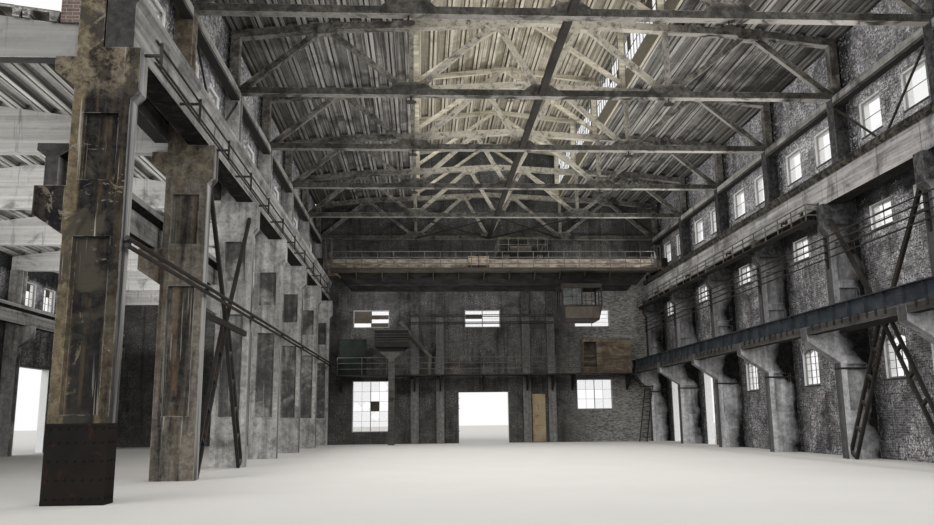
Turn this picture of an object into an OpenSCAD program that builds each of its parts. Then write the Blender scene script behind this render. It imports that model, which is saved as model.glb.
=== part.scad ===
/* [Hall] */
// Length of one bay, column line to column line
bay = 6000; // [5400:100:6000]
// Number of bays
bays = 6; // [3:1:6]
// Clear width of the nave between the lower columns
nave_clear = 20000; // [18000:100:20400]
// Clear width of the side aisle between its columns and the nave columns
aisle_clear = 12000; // [9000:100:12000]
// Thickness of the brick walls
wall_t = 370; // [240:10:490]
// Space between the last frame and the end wall
end_gap = 300; // [260:10:400]

/* [Main columns] */
// Depth of a main column across the nave
col_d = 1100; // [1000:20:1200]
// Width of a main column along the hall
col_w = 450; // [400:10:500]
// Depth of a main column above its crane seat
upper_d = 500; // [400:10:560]
// Width of the solid rib left beside a column's recessed panels
col_rib = 200; // [160:10:260]
// Depth of a column's recessed panels
panel_recess = 110; // [60:10:140]
// Height of the seat of the crane girders
crane_seat_z = 8800; // [8700:50:9200]
// Reach of the crane seat out of the column
crane_seat_reach = 150; // [100:10:250]
// Height of the seat of the roof trusses
truss_seat_z = 12750; // [12600:50:13000]
// Height of the seat of the lower runway on the right columns
runway_seat_z = 4420; // [4300:20:4700]
// Reach of the lower runway's corbels
runway_reach = 1100; // [900:20:1200]
// Height of the seat of the aisle's crane girders
aisle_seat_z = 5950; // [5700:50:6200]
// Reach of the aisle girder corbels
aisle_reach = 600; // [500:20:700]
// Height of the steel jacket round the foot of the first left column
jacket_h = 1450; // [1000:50:1500]
// Plate thickness of that jacket
jacket_t = 12; // [8:1:20]

/* [Crane girders] */
// Depth of a crane girder
girder_h = 1200; // [1000:20:1250]
// Width of a crane girder's top flange
girder_w = 600; // [500:20:640]
// Width of a crane girder's body
girder_web = 560; // [480:10:580]
// Depth of an aisle crane girder
aisle_girder_h = 850; // [700:20:900]
// Depth of the steel beam of the lower runway
runway_h = 540; // [450:10:600]
// Flange width of that beam
runway_w = 300; // [240:10:360]

/* [Roof] */
// Height of the top of the roof trusses at the middle of the nave
roof_mid_z = 15850; // [15700:50:16200]
// Drop of the truss top from the middle to the monitor posts
roof_drop_1 = 270; // [150:10:350]
// Further drop to the fold of the top chord
roof_drop_2 = 120; // [80:10:240]
// Further drop to the truss end
roof_drop_3 = 360; // [250:10:500]
// Depth of the trusses' top chord
chord_h = 280; // [250:10:340]
// Depth of the trusses' bottom chord
low_chord_h = 240; // [220:10:300]
// Width of the truss chords along the hall
chord_w = 300; // [240:10:340]
// Width of the truss web members along the hall
web_w = 180; // [140:10:200]
// Width of one trough slab
slab_pitch = 750; // [700:10:900]
// Depth of a trough slab's ribs
slab_h = 220; // [180:10:300]
// Thickness of a trough slab's plate
slab_t = 50; // [40:5:80]
// Height of the monitor's sill above the monitor posts' feet
sill_h = 820; // [700:20:900]
// Height of the monitor's glazing
monitor_glass_h = 2000; // [1500:50:2200]
// Rise of the monitor roof
monitor_rise = 550; // [400:10:700]

/* [Windows] */
// Width of a side wall window
win_w = 1300; // [1000:20:1400]
// Distance of a window's middle from the middle of its bay
win_offset = 1300; // [1100:20:1400]
// Sill height of the lower windows
low_sill = 2620; // [2400:20:2800]
// Height of the lower windows at their crown
low_win_h = 1430; // [1200:10:1500]
// Rise of the arch over the lower windows
arch_rise = 160; // [80:10:240]
// Sill height of the middle windows
mid_sill = 7650; // [7500:50:7800]
// Height of the middle windows
mid_win_h = 850; // [750:50:1000]
// Sill height of the upper windows
top_sill = 10950; // [10900:50:11200]
// Height of the upper windows
top_win_h = 1250; // [1000:50:1350]
// Number of right side bays at the far end with a doorway in place of a window
door_bays = 2; // [0:1:2]

/* [Aisle wall] */
// Sill height of the aisle's windows
aisle_sill = 7150; // [6800:50:7300]
// Height of the aisle's windows
aisle_win_h = 1200; // [900:50:1250]
// Width of the aisle's gate
aisle_gate_w = 3500; // [3000:50:3800]
// Height of the aisle's gate
aisle_gate_h = 4200; // [3500:50:4500]

/* [End wall] */
// Distance of the end wall's own middle from the middle of the nave
end_mid_x = -440; // [-600:20:0]
// Width of the gate
gate_w = 3100; // [2800:20:3600]
// Height of the gate
gate_h = 3100; // [2800:20:3600]
// Distance of the end windows from the middle of the nave
end_win_x = 7000; // [6500:50:7500]
// Width of the end windows
end_win_w = 2250; // [1800:50:2400]
// Sill height of the left lower end window
left_end_sill = 730; // [500:10:1000]
// Sill height of the right lower end window
right_end_sill = 1980; // [1700:20:2200]
// Head height of the lower end windows
end_head = 3850; // [3600:10:3900]
// Sill height of the upper end windows
end_top_sill = 7150; // [6800:50:7400]
// Height of the upper end windows
end_top_h = 1100; // [900:50:1300]
// Height of the gallery's deck
gallery_z = 4150; // [4050:10:4400]
// Width of the gallery's deck
gallery_w = 1200; // [1000:20:1400]
// Height of the railings
rail_h = 1050; // [950:10:1150]

/* [Bridge crane] */
// Distance of the crane's middle before the last frame
crane_back = 2100; // [2050:50:3000]
// Distance of each bridge girder from the crane's middle
girder_y = 1200; // [1100:10:1300]
// Width of a bridge girder
bridge_w = 400; // [300:10:420]
// Height of a bridge girder at midspan
bridge_h = 1500; // [1200:20:1500]
// Height of a bridge girder's ends
bridge_end_h = 500; // [420:10:560]
// Length of an end carriage
carriage_l = 3800; // [3400:50:3900]
// Radius of the crane's wheels
wheel_r = 300; // [250:5:320]
// Distance of the trolley's middle from the middle of the nave
trolley_x = 1800; // [0:100:3000]
// Height of the trolley's rail above the bridge
trolley_rail_h = 60; // [40:5:80]
// Left edge of the crane's cab
cab_x = 3860; // [3000:20:5000]
// Width of the crane's cab
cab_w = 2400; // [2000:20:2600]
// Height of the crane's cab
cab_h = 2150; // [2000:20:2200]

/* [Hidden] */

joint = 20;
// Clearance under what stands on a sloping seat.
seat_gap = 0.3;
overhang = 130;
inner_x = nave_clear / 2;
outer_x = inner_x + col_d;
wall_x = outer_x + wall_t;
eaves_x = wall_x + overhang;
hall_l = bays * bay;
near_y = -col_w / 2;
end_y = hall_l + end_gap;
far_y = end_y + wall_t;
aisle_x = outer_x + aisle_clear;
aisle_col_d = 600;
aisle_wall_x = aisle_x + aisle_col_d;
aisle_out_x = aisle_wall_x + wall_t;
aisle_eaves_x = aisle_out_x + overhang;
nave_x = (aisle_eaves_x - eaves_x) / 2;
first_y = -(far_y + near_y - jacket_t) / 2;

half_span = outer_x - upper_d / 2;
truss_panel = half_span / 7;
monitor_x = 3 * truss_panel;
roof_line = [
    [0, roof_mid_z],
    [monitor_x, roof_mid_z - roof_drop_1],
    [5 * truss_panel, roof_mid_z - roof_drop_1 - roof_drop_2],
    [half_span, roof_mid_z - roof_drop_1 - roof_drop_2 - roof_drop_3]
];
end_slope = roof_drop_3 / (2 * truss_panel);
// Distance by which a slab's upper corner leans out over its lower one on a slope.
function lean(slope) = slab_h * slope / sqrt(1 + slope * slope);
function roof_at(x) = abs(x) <= half_span ? lookup(abs(x), roof_line)
    : roof_line[3][1] - (abs(x) - half_span) * end_slope;

girder_x = inner_x + 225;
girder_top = crane_seat_z + girder_h;
rail_top = girder_top + 140;
crane_y = hall_l - crane_back;

win_half = win_w / 2;
win_mid = [bay / 2 - win_offset, bay / 2 + win_offset];
side_wins = [for (i = [0:bays - 1]) for (m = win_mid) i * bay + m];

// Moves the hall from its own axes, nave middle and first column line, to the part's frame.
module in_hall() translate([nave_x, first_y, 0]) children();
module at_frames() for (i = [0:bays]) translate([0, i * bay, 0]) children();
module both_sides() {
    children();
    mirror([1, 0, 0]) children();
}
// Pushes an outline drawn in X and Z along Y.
module along_y(y0, y1) translate([0, y1, 0]) rotate([90, 0, 0]) linear_extrude(y1 - y0) children();
// Pushes an outline drawn in Y and Z along X.
module along_x(x0, x1) translate([x0, 0, 0]) rotate([90, 0, 90]) linear_extrude(x1 - x0) children();
module block(lo, hi) translate(lo) cube(hi - lo);
// A straight flat bar between two points of an outline.
module bar(p, q, w) {
    run = q - p;
    translate(p) rotate(atan2(run[1], run[0])) translate([0, -w / 2]) square([norm(run), w]);
}
function from_bay(i) = i == 0 ? near_y : i * bay + joint / 2;
function to_bay(i, last) = i == bays - 1 ? last : (i + 1) * bay - joint / 2;

// A bracket that grows out of a column face at x, on the side given by dir.
module corbel(x, dir, top, reach, tip, root) {
    polygon([
        [x - dir * 100, top], [x + dir * reach, top],
        [x + dir * reach, top - tip], [x, top - root], [x - dir * 100, top - root]
    ]);
}
// Recessed panel on both faces of a column, with sloping cheeks.
module column_recess(z0, z1, x0, x1) {
    cheek = 40;
    for (s = [-1, 1])
        translate([0, 0, z0]) linear_extrude(z1 - z0) polygon([
            [x0, s * (col_w / 2 + 1)], [x1, s * (col_w / 2 + 1)],
            [x1 - cheek, s * (col_w / 2 - panel_recess)],
            [x0 + cheek, s * (col_w / 2 - panel_recess)]
        ]);
}
module main_column(runway, aisle) {
    difference() {
        along_y(-col_w / 2, col_w / 2) union() {
            translate([inner_x, 0]) square([col_d, crane_seat_z]);
            translate([outer_x - upper_d, 0]) square([upper_d, truss_seat_z]);
            corbel(inner_x, -1, crane_seat_z, crane_seat_reach, 900, 1080);
            if (runway) corbel(inner_x, -1, runway_seat_z, runway_reach, 460, 1200);
            if (aisle) corbel(outer_x, 1, aisle_seat_z, aisle_reach, 560, 970);
            if (aisle) corbel(outer_x, 1, aisle_beam_z, aisle_beam_reach, 300, 600);
        }
        column_recess(aisle_seat_z + 120, crane_seat_z - 1380,
            inner_x + col_rib, outer_x - col_rib);
        column_recess(jacket_h + 150, runway ? runway_seat_z - 1250 : aisle_seat_z - 1000,
            inner_x + col_rib, outer_x - col_rib);
        if (runway)
            column_recess(runway_seat_z + 150, aisle_seat_z - 150,
                inner_x + col_rib, outer_x - col_rib);
    }
}
module left_columns()
    color("#5b5853") in_hall() mirror([1, 0, 0]) at_frames() main_column(false, true);
module right_columns()
    color("#65625c") in_hall() at_frames() main_column(true, false);

// Steel plates round the foot of the first left column.
module column_jacket()
    color("#5a3a2c") in_hall() mirror([1, 0, 0]) difference() {
        block([inner_x - jacket_t, -col_w / 2 - jacket_t, 0],
            [outer_x + jacket_t, col_w / 2 + jacket_t, jacket_h]);
        block([inner_x, -col_w / 2, -1], [outer_x, col_w / 2, jacket_h + 1]);
    }

aisle_beam_z = crane_seat_z - 200;
aisle_beam_reach = 400;
aisle_beam_end_h = 670;
aisle_slope = 0.135;
aisle_mid_x = (outer_x + aisle_wall_x) / 2;
function aisle_roof_at(x) = aisle_beam_z + aisle_beam_end_h
    + (aisle_mid_x - outer_x - abs(x - aisle_mid_x)) * aisle_slope;

module aisle_columns()
    color("#5d5a55") in_hall() mirror([1, 0, 0]) at_frames()
        along_y(-col_w / 2, col_w / 2) union() {
            translate([aisle_x, 0]) square([aisle_col_d, aisle_beam_z]);
            corbel(aisle_x, -1, aisle_seat_z, aisle_reach, 560, 970);
        }

end_col_x = [for (x = [-4280, -2700, 2700, 4280]) end_mid_x + x];
end_col_w = 480;
module end_columns()
    color("#57544f") in_hall() for (x = end_col_x)
        block([x - end_col_w / 2, end_y - end_gap + 20, 0], [x + end_col_w / 2, end_y, truss_seat_z]);

// Crane girder: a wide body that backs on the upper column, and a flange on the nave side.
girder_flange = 150;
girder_haunch = 120;
girder_back = outer_x - upper_d - 35 - girder_x;
girder_front = girder_back - girder_web;
module crane_girder_outline()
    polygon([
        [girder_front, 0], [girder_back, 0], [girder_back, girder_h], [-girder_w / 2, girder_h],
        [-girder_w / 2, girder_h - girder_flange],
        [girder_front, girder_h - girder_flange - girder_haunch]
    ]);
module crane_girders()
    for (i = [0:bays - 1])
        along_y(from_bay(i), to_bay(i, hall_l)) translate([girder_x, crane_seat_z])
            crane_girder_outline();
module left_crane_girders() color("#4a4744") in_hall() mirror([1, 0, 0]) crane_girders();
module right_crane_girders() color("#6c675c") in_hall() crane_girders();

// T-shaped girder of the aisle, with haunches under its flange.
module aisle_girder_outline(h) {
    web = 260;
    under = h - girder_flange;
    polygon([
        [-web / 2, 0], [web / 2, 0], [web / 2, under - girder_haunch], [girder_w / 2, under],
        [girder_w / 2, h], [-girder_w / 2, h], [-girder_w / 2, under],
        [-web / 2, under - girder_haunch]
    ]);
}
aisle_girder_x = [outer_x + aisle_reach / 2, aisle_x - aisle_reach / 2];
module aisle_crane_girders()
    color("#3f3d3b") in_hall() mirror([1, 0, 0]) for (x = aisle_girder_x, i = [0:bays - 1])
        along_y(from_bay(i), to_bay(i, hall_l)) translate([x, aisle_seat_z])
            aisle_girder_outline(aisle_girder_h);

module rail_outline()
    polygon([
        [-60, 0], [60, 0], [60, 15], [10, 30], [10, 105], [35, 115], [35, 140],
        [-35, 140], [-35, 115], [-10, 105], [-10, 30], [-60, 15]
    ]);
// Crane rails with an end stop beyond each end of the crane's travel.
stop_t = 70;
module crane_rails()
    color("#3a3532") in_hall() {
        both_sides() {
            along_y(near_y, hall_l) translate([girder_x, girder_top]) rail_outline();
            for (y = [near_y, hall_l - stop_t])
                block([girder_x - 100, y, girder_top], [girder_x + 100, y + stop_t, rail_top + 300]);
        }
        right_conductors();
        left_conductors();
    }
// Conductor rails on insulators, on posts at the right columns.
module right_conductors() {
    rail = 40;
    post_t = 40;
    insulator = 70;
    post_top = crane_seat_z - 1100;
    face = inner_x - post_t;
    z = [for (k = [0:3]) post_top - 120 - 250 * k];
    at_frames() {
        block([face, -60, post_top - 1200], [inner_x, 60, post_top]);
        for (h = z) translate([face - insulator - 1, 0, h]) rotate([0, 90, 0])
            cylinder(r = 32, h = insulator + 2);
    }
    for (h = z)
        block([face - insulator - rail, near_y, h - rail / 2],
            [face - insulator, hall_l, h + rail / 2]);
}
// Conductor rails in hooked arms on the nave face of the left crane girders.
module left_conductors() {
    rail = 35;
    arm_t = 60;
    tip = inner_x - 500;
    seat = inner_x - crane_seat_reach;
    web = girder_x + girder_front;
    module arm(y, back, z) along_y(y - arm_t / 2, y + arm_t / 2) {
        translate([tip, z]) square([back - tip, 50]);
        translate([tip, crane_seat_z - 350]) square([50, 550]);
    }
    mirror([1, 0, 0]) {
        at_frames() arm(0, seat, crane_seat_z - 100);
        for (i = [0:bays - 1]) arm((i + 0.5) * bay, web, crane_seat_z + 50);
        for (z = [-330, -230, 140])
            block([tip + 49, near_y, crane_seat_z + z], [tip + 50 + rail, hall_l, crane_seat_z + z + rail]);
    }
}

// Riveted steel beam on the right columns: web, flange angles, stiffeners, splices at columns.
module lower_runway() {
    x = inner_x - runway_reach + runway_w / 2;
    flange = 30;
    web = 16;
    angle = 90;
    angle_t = 14;
    stiffener_gap = 1000;
    splice = 420;
    top = runway_seat_z + runway_h;
    color("#34393d") in_hall() {
        along_y(near_y, hall_l) translate([x, runway_seat_z]) {
            for (z = [0, runway_h - flange])
                translate([-runway_w / 2, z]) square([runway_w, flange]);
            translate([-web / 2, flange - 1]) square([web, runway_h - 2 * flange + 2]);
            for (s = [-1, 1], z = [flange, runway_h - flange - angle])
                translate([s * (web / 2 + angle_t / 2) - angle_t / 2 - 0.5, z - 1])
                    square([angle_t + 1, angle + 2]);
        }
        for (y = [0:stiffener_gap:hall_l - 1])
            block([x - runway_w / 2 + 30, y - 8, runway_seat_z + flange - 1],
                [x + runway_w / 2 - 30, y + 8, top - flange + 1]);
        for (i = [0:bays - 1])
            block([x - web / 2 - 24, i * bay + 40, runway_seat_z + flange - 1],
                [x + web / 2 + 24, i * bay + 40 + splice, top - flange + 1]);
    }
}

module top_chord_outline()
    polygon(concat(
        [for (k = [3:-1:0]) [-roof_line[k][0], roof_line[k][1]]],
        [for (k = [1:3]) roof_line[k]],
        [[half_span + 150, roof_at(half_span + 150)],
         [half_span + 150, roof_at(half_span + 150) - chord_h]],
        [for (k = [3:-1:0]) [roof_line[k][0], roof_line[k][1] - chord_h]],
        [for (k = [1:3]) [-roof_line[k][0], roof_line[k][1] - chord_h]],
        [[-half_span - 150, roof_at(half_span + 150) - chord_h],
         [-half_span - 150, roof_at(half_span + 150)]]
    ));
module roof_truss() {
    low = truss_seat_z + low_chord_h / 2;
    reach = half_span + 150;
    function top(k) = [k * truss_panel, roof_at(k * truss_panel) - chord_h / 2];
    function bottom(k) = [k * truss_panel, low];
    along_y(-chord_w / 2, chord_w / 2) union() {
        translate([-reach, truss_seat_z]) square([2 * reach, low_chord_h]);
        top_chord_outline();
        for (s = [-1, 1]) {
            bar(bottom(7 * s), top(7 * s), 300);
            polygon([[s * 2.4 * truss_panel, low], [s * 2.7 * truss_panel, low + 380],
                [s * 3.3 * truss_panel, low + 380], [s * 3.6 * truss_panel, low]]);
        }
        polygon([[-0.5 * truss_panel, low], [-0.2 * truss_panel, low + 340],
            [0.2 * truss_panel, low + 340], [0.5 * truss_panel, low]]);
        for (k = [-5, -1, 1, 5]) translate(top(k)) rotate(atan2(roof_at((k + 0.1) * truss_panel)
            - roof_at((k - 0.1) * truss_panel), 0.2 * truss_panel))
            polygon([[-700, 0], [-330, -chord_h], [330, -chord_h], [700, 0]]);
    }
    along_y(-web_w / 2, web_w / 2) for (s = [-1, 1]) {
        bar(bottom(3 * s), top(3 * s), 180);
        bar(bottom(6.9 * s), top(5 * s), 220);
        bar(top(5 * s), bottom(3 * s), 180);
        bar(bottom(3 * s), top(s), 200);
        bar(top(s), bottom(0), 180);
    }
}
module roof_trusses() color("#77736a") in_hall() at_frames() roof_truss();

// Struts along the middle of the bottom chords, and cross bracing in their plane in the last bay.
module truss_struts() {
    deep = 200;
    z = truss_seat_z + 20;
    y0 = (bays - 1) * bay + chord_w / 2;
    y1 = hall_l - chord_w / 2;
    color("#2f2d2b") in_hall() {
        for (i = [0:bays - 1])
            block([-110, i * bay + chord_w / 2, z], [110, (i + 1) * bay - chord_w / 2, z + deep]);
        translate([0, 0, z]) linear_extrude(60) intersection() {
            translate([-monitor_x - 100, y0]) square([2 * monitor_x + 200, y1 - y0]);
            for (s = [-1, 1]) {
                bar([0, y0], [s * monitor_x, y1], 80);
                bar([s * monitor_x, y0], [0, y1], 80);
            }
        }
    }
}

// Trough slab: a plate on two tapered ribs, so that neighbours meet over a V-shaped groove.
module slab_outline(w) {
    rib_foot = 130;
    rib_root = 170;
    groove = 30;
    gap = 8;
    under = slab_h - slab_t;
    polygon([
        [gap + groove, 0], [gap + groove + rib_foot, 0], [gap + groove + rib_root, under],
        [w - groove - rib_root, under], [w - groove - rib_foot, 0], [w - groove, 0],
        [w, under], [w, slab_h], [gap, slab_h], [gap, under]
    ]);
}
// A row of slabs from point p down to point q, over every bay.
module slab_row(p, q) {
    run = q - p;
    count = max(1, round(norm(run) / slab_pitch));
    w = norm(run) / count;
    for (i = [0:bays - 1], k = [0:count - 1])
        along_y(from_bay(i), to_bay(i, far_y)) translate([0, seat_gap])
            translate(p + run * k / count) rotate(atan2(run[1], run[0])) slab_outline(w);
}
sill_t = 100;
module half_roof_slabs() {
    start = monitor_x + sill_t + 10;
    fold = roof_line[2];
    edge = eaves_x - lean(end_slope);
    slab_row([start, roof_at(start)], fold);
    slab_row(fold, [edge, roof_at(edge)]);
}
module roof_slabs() color("#6f6a60") in_hall() both_sides() half_roof_slabs();

monitor_foot_z = roof_at(monitor_x);
monitor_sill_z = monitor_foot_z + sill_h;
monitor_head_z = monitor_sill_z + monitor_glass_h;
monitor_eave_z = monitor_head_z + 250;
monitor_out_x = monitor_x + 550;
function monitor_roof_at(x) = monitor_eave_z + monitor_rise * (1 - abs(x) / monitor_x);
module monitor_frame() {
    post = 250;
    depth = 235;
    along_y(-web_w / 2, web_w / 2) union() for (s = [-1, 1]) {
        polygon([
            [s * (monitor_x - post), roof_at(monitor_x - post) + seat_gap],
            [s * monitor_x, monitor_foot_z + seat_gap],
            [s * monitor_x, monitor_eave_z], [s * (monitor_x - post), monitor_eave_z]
        ]);
        polygon([
            [0, monitor_roof_at(0)], [s * monitor_out_x, monitor_roof_at(monitor_out_x)],
            [s * monitor_out_x, monitor_roof_at(monitor_out_x) - 120],
            [s * monitor_x, monitor_roof_at(monitor_x) - depth], [0, monitor_roof_at(0) - depth]
        ]);
        bar([s * (monitor_x - post / 2), monitor_foot_z + 250],
            [0, monitor_roof_at(0) - depth / 2], 160);
    }
}
module monitor_frames() color("#a39c8c") in_hall() at_frames() monitor_frame();

module monitor_sills()
    color("#a8a08e") in_hall() both_sides() {
        out = monitor_x + sill_t;
        for (i = [0:bays - 1])
            along_y(from_bay(i), to_bay(i, far_y)) polygon([
                [monitor_x, monitor_foot_z + seat_gap], [out, roof_at(out) + seat_gap],
                [out, monitor_sill_z], [monitor_x, monitor_sill_z]
            ]);
        for (i = [0:bays])
            along_y(i * bay + web_w / 2, i == bays ? far_y : (i + 1) * bay - web_w / 2) polygon([
                [monitor_x, monitor_head_z], [out, monitor_head_z],
                [out, monitor_roof_at(out)], [monitor_x, monitor_roof_at(monitor_x)]
            ]);
    }

// Opening of a width and height whose head rises as an arc in its middle, shrunk by a face width.
module opening_outline(w, h, rise, face) {
    r = rise > 0 ? (w * w / 4 + rise * rise) / (2 * rise) : 0;
    intersection() {
        translate([face, face]) square([w - 2 * face, h - 2 * face]);
        if (rise > 0) translate([w / 2, h - r]) circle(r = r - face);
        else square([w, h]);
    }
}
// A flat steel frame in an opening, drawn in the opening's own width and height.
module frame_outline(w, h, rise, face) {
    difference() {
        opening_outline(w, h, rise, 0);
        opening_outline(w, h, rise, face);
    }
}
frame_face = 50;
frame_t = 60;
module monitor_roof_slabs()
    color("#8d8676") in_hall() both_sides()
        slab_row([10, monitor_roof_at(10)], [monitor_out_x, monitor_roof_at(monitor_out_x)]);

// Concrete beams along the hall: at the truss seats, under the clerestory and under the runway.
module eaves_beams() {
    deep = 350;
    wide = 300;
    low_deep = 450;
    x = outer_x - upper_d;
    ledge_x = inner_x - runway_reach;
    color("#8a867c") in_hall() for (i = [0:bays - 1]) {
        y0 = i * bay + col_w / 2;
        y1 = (i + 1) * bay - col_w / 2;
        both_sides()
            block([x, y0, eaves_beam_z], [x + wide, y1, eaves_beam_z + deep]);
        mirror([1, 0, 0])
            block([outer_x, i * bay + chord_w / 2, clerestory_z - low_deep],
                [wall_x, (i + 1) * bay - chord_w / 2, clerestory_z]);
        block([ledge_x, y0, runway_seat_z - ledge_h], [ledge_x + ledge_w, y1, runway_seat_z]);
    }
}
eaves_beam_z = truss_seat_z - 300;
ledge_h = 260;
ledge_w = 380;

// Brickwork of a side wall between y0 and y1, up to z1, or up to the roof if z1 is zero.
module side_brick(x, y0, y1, z0, z1) {
    along_y(y0, y1) polygon([
        [x, z0], [x + wall_t, z0],
        [x + wall_t, z1 > 0 ? z1 : roof_at(x + wall_t)], [x, z1 > 0 ? z1 : roof_at(x)]
    ]);
}
function pier_from(k) = k == 0 ? near_y : side_wins[k - 1] + win_half;
function pier_to(k) = k == len(side_wins) ? end_y : side_wins[k] - win_half;
function is_door(k) = k % 2 == 1 && floor(k / 2) >= bays - door_bays;
clerestory_z = aisle_roof_at(wall_x);
module nave_wall_piers()
    color("#4b3f39") in_hall() for (k = [0:len(side_wins)]) {
        side_brick(outer_x, pier_from(k), pier_to(k), 0, 0);
        mirror([1, 0, 0]) side_brick(outer_x, pier_from(k), pier_to(k), clerestory_z, 0);
    }
module nave_wall_panels()
    color("#53463f") in_hall() for (k = [0:len(side_wins) - 1]) {
        y0 = side_wins[k] - win_half;
        y1 = side_wins[k] + win_half;
        if (!is_door(k)) side_brick(outer_x, y0, y1, 0, low_sill);
        difference() {
            side_brick(outer_x, y0, y1, low_sill + low_win_h - arch_rise, mid_sill);
            translate([0, y0, low_sill]) along_x(outer_x - 1, wall_x + 1)
                opening_outline(win_w, low_win_h, arch_rise, 0);
        }
        side_brick(outer_x, y0, y1, mid_sill + mid_win_h, top_sill);
        mirror([1, 0, 0]) side_brick(outer_x, y0, y1, clerestory_z, top_sill);
        both_sides() side_brick(outer_x, y0, y1, top_sill + top_win_h, 0);
    }

// Brickwork of the aisle's outer wall; its bay with the gate is the last but one.
aisle_win = [bay / 2 - aisle_gate_w / 2, bay / 2 - aisle_gate_w / 2 + win_w,
    bay / 2 + aisle_gate_w / 2 - win_w, bay / 2 + aisle_gate_w / 2];
gate_bay = bays - 2;
module aisle_brick(y0, y1, z0, z1) {
    along_y(y0, y1) polygon([
        [aisle_wall_x, z0], [aisle_out_x, z0],
        [aisle_out_x, z1 > 0 ? z1 : aisle_roof_at(aisle_out_x)],
        [aisle_wall_x, z1 > 0 ? z1 : aisle_roof_at(aisle_wall_x)]
    ]);
}
module aisle_wall_piers()
    color("#4b3f39") in_hall() mirror([1, 0, 0]) {
        for (i = [0:bays])
            aisle_brick(i == 0 ? near_y : (i - 1) * bay + aisle_win[3],
                i == bays ? end_y : i * bay + aisle_win[0], 0, 0);
        for (i = [0:bays - 1])
            aisle_brick(i * bay + aisle_win[1], i * bay + aisle_win[2],
                i == gate_bay ? aisle_sill : 0, 0);
    }
module aisle_wall_panels()
    color("#53463f") in_hall() mirror([1, 0, 0]) for (i = [0:bays - 1]) {
        if (i == gate_bay)
            aisle_brick(i * bay + aisle_win[0], i * bay + aisle_win[3], aisle_gate_h, aisle_sill);
        for (k = [0, 2]) {
            y0 = i * bay + aisle_win[k];
            y1 = i * bay + aisle_win[k + 1];
            if (i != gate_bay) aisle_brick(y0, y1, 0, aisle_sill);
            aisle_brick(y0, y1, aisle_sill + aisle_win_h, 0);
        }
    }

// Brickwork of the end wall: full height strips, and panels between its openings.
end_openings = [for (x = [-end_win_x, 0, end_win_x], half = [(x == 0 ? gate_w : end_win_w) / 2])
    [end_mid_x + x - half, end_mid_x + x + half]];
// Part of the end wall from x0 to x1 above z0, up to z1, or up to the roof if z1 is zero.
module end_strip(x0, x1, z0, z1) {
    top = monitor_roof_at(0);
    along_y(end_y, far_y) intersection() {
        translate([x0, z0]) square([x1 - x0, (z1 > 0 ? z1 : top) - z0]);
        polygon([
            [-wall_x, 0], [-wall_x, roof_at(wall_x)], [-roof_line[2][0], roof_line[2][1]],
            [-monitor_x, monitor_foot_z], [-monitor_x, monitor_roof_at(monitor_x)], [0, top],
            [monitor_x, monitor_roof_at(monitor_x)], [monitor_x, monitor_foot_z],
            roof_line[2], [wall_x, roof_at(wall_x)], [wall_x, 0]
        ]);
    }
}
module end_wall_piers()
    color("#3f3a37") in_hall() {
        end_strip(-wall_x, end_openings[0][0], 0, 0);
        end_strip(end_openings[0][1], end_openings[1][0], 0, 0);
        end_strip(end_openings[1][1], end_openings[2][0], 0, 0);
        end_strip(end_openings[2][1], wall_x, 0, 0);
    }
module end_wall_panels()
    color("#46403c") in_hall() {
        for (k = [0, 2]) {
            x0 = end_openings[k][0];
            x1 = end_openings[k][1];
            end_strip(x0, x1, 0, k == 0 ? left_end_sill : right_end_sill);
            end_strip(x0, x1, end_head, end_top_sill);
            end_strip(x0, x1, end_top_sill + end_top_h, 0);
        }
        difference() {
            end_strip(end_openings[1][0], end_openings[1][1], gate_h, 0);
            block([end_mid_x - end_win_w / 2, end_y - 1, end_top_sill],
                [end_mid_x + end_win_w / 2, far_y + 1, end_top_sill + end_top_h]);
        }
        along_y(end_y, far_y) polygon([
            [-wall_x, 0], [-wall_x, aisle_roof_at(wall_x)],
            [-aisle_mid_x, aisle_roof_at(aisle_mid_x)],
            [-aisle_out_x, aisle_roof_at(aisle_out_x)], [-aisle_out_x, 0]
        ]);
    }

// Pitched beams over the aisle, deepest at their middle.
module aisle_roof_beams()
    color("#8f8c84") in_hall() mirror([1, 0, 0]) at_frames()
        along_y(-chord_w / 2, chord_w / 2) polygon([
            [outer_x, aisle_beam_z], [aisle_wall_x, aisle_beam_z],
            [aisle_wall_x, aisle_roof_at(aisle_wall_x)], [aisle_mid_x, aisle_roof_at(aisle_mid_x)],
            [wall_x, clerestory_z], [outer_x, clerestory_z]
        ]);
module aisle_roof_slabs() {
    edge = aisle_eaves_x - lean(aisle_slope);
    valley = wall_x + lean(aisle_slope) + 20;
    color("#9a958a") in_hall() mirror([1, 0, 0]) {
        slab_row([aisle_mid_x + 5, aisle_roof_at(aisle_mid_x + 5)], [edge, aisle_roof_at(edge)]);
        mirror([1, 0, 0])
            slab_row([-aisle_mid_x + 5, aisle_roof_at(aisle_mid_x - 5)],
                [-valley, aisle_roof_at(valley)]);
    }
}

// Glazed openings of the walls along the hall: near edge, sill, width, height and arch rise.
right_windows = [for (k = [0:len(side_wins) - 1], row = [[low_sill, low_win_h, arch_rise],
    [mid_sill, mid_win_h, 0], [top_sill, top_win_h, 0]])
    if (row[0] != low_sill || !is_door(k))
        [side_wins[k] - win_half, row[0], win_w, row[1], row[2]]];
monitor_windows = [for (i = [0:bays - 1])
    [from_bay(i), monitor_sill_z, to_bay(i, far_y) - from_bay(i), monitor_glass_h, 0]];
clerestory_windows = [for (y = side_wins) [y - win_half, top_sill, win_w, top_win_h, 0]];
aisle_windows = [for (i = [0:bays - 1], k = [0, 2])
    [i * bay + aisle_win[k], aisle_sill, win_w, aisle_win_h, 0]];
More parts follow.
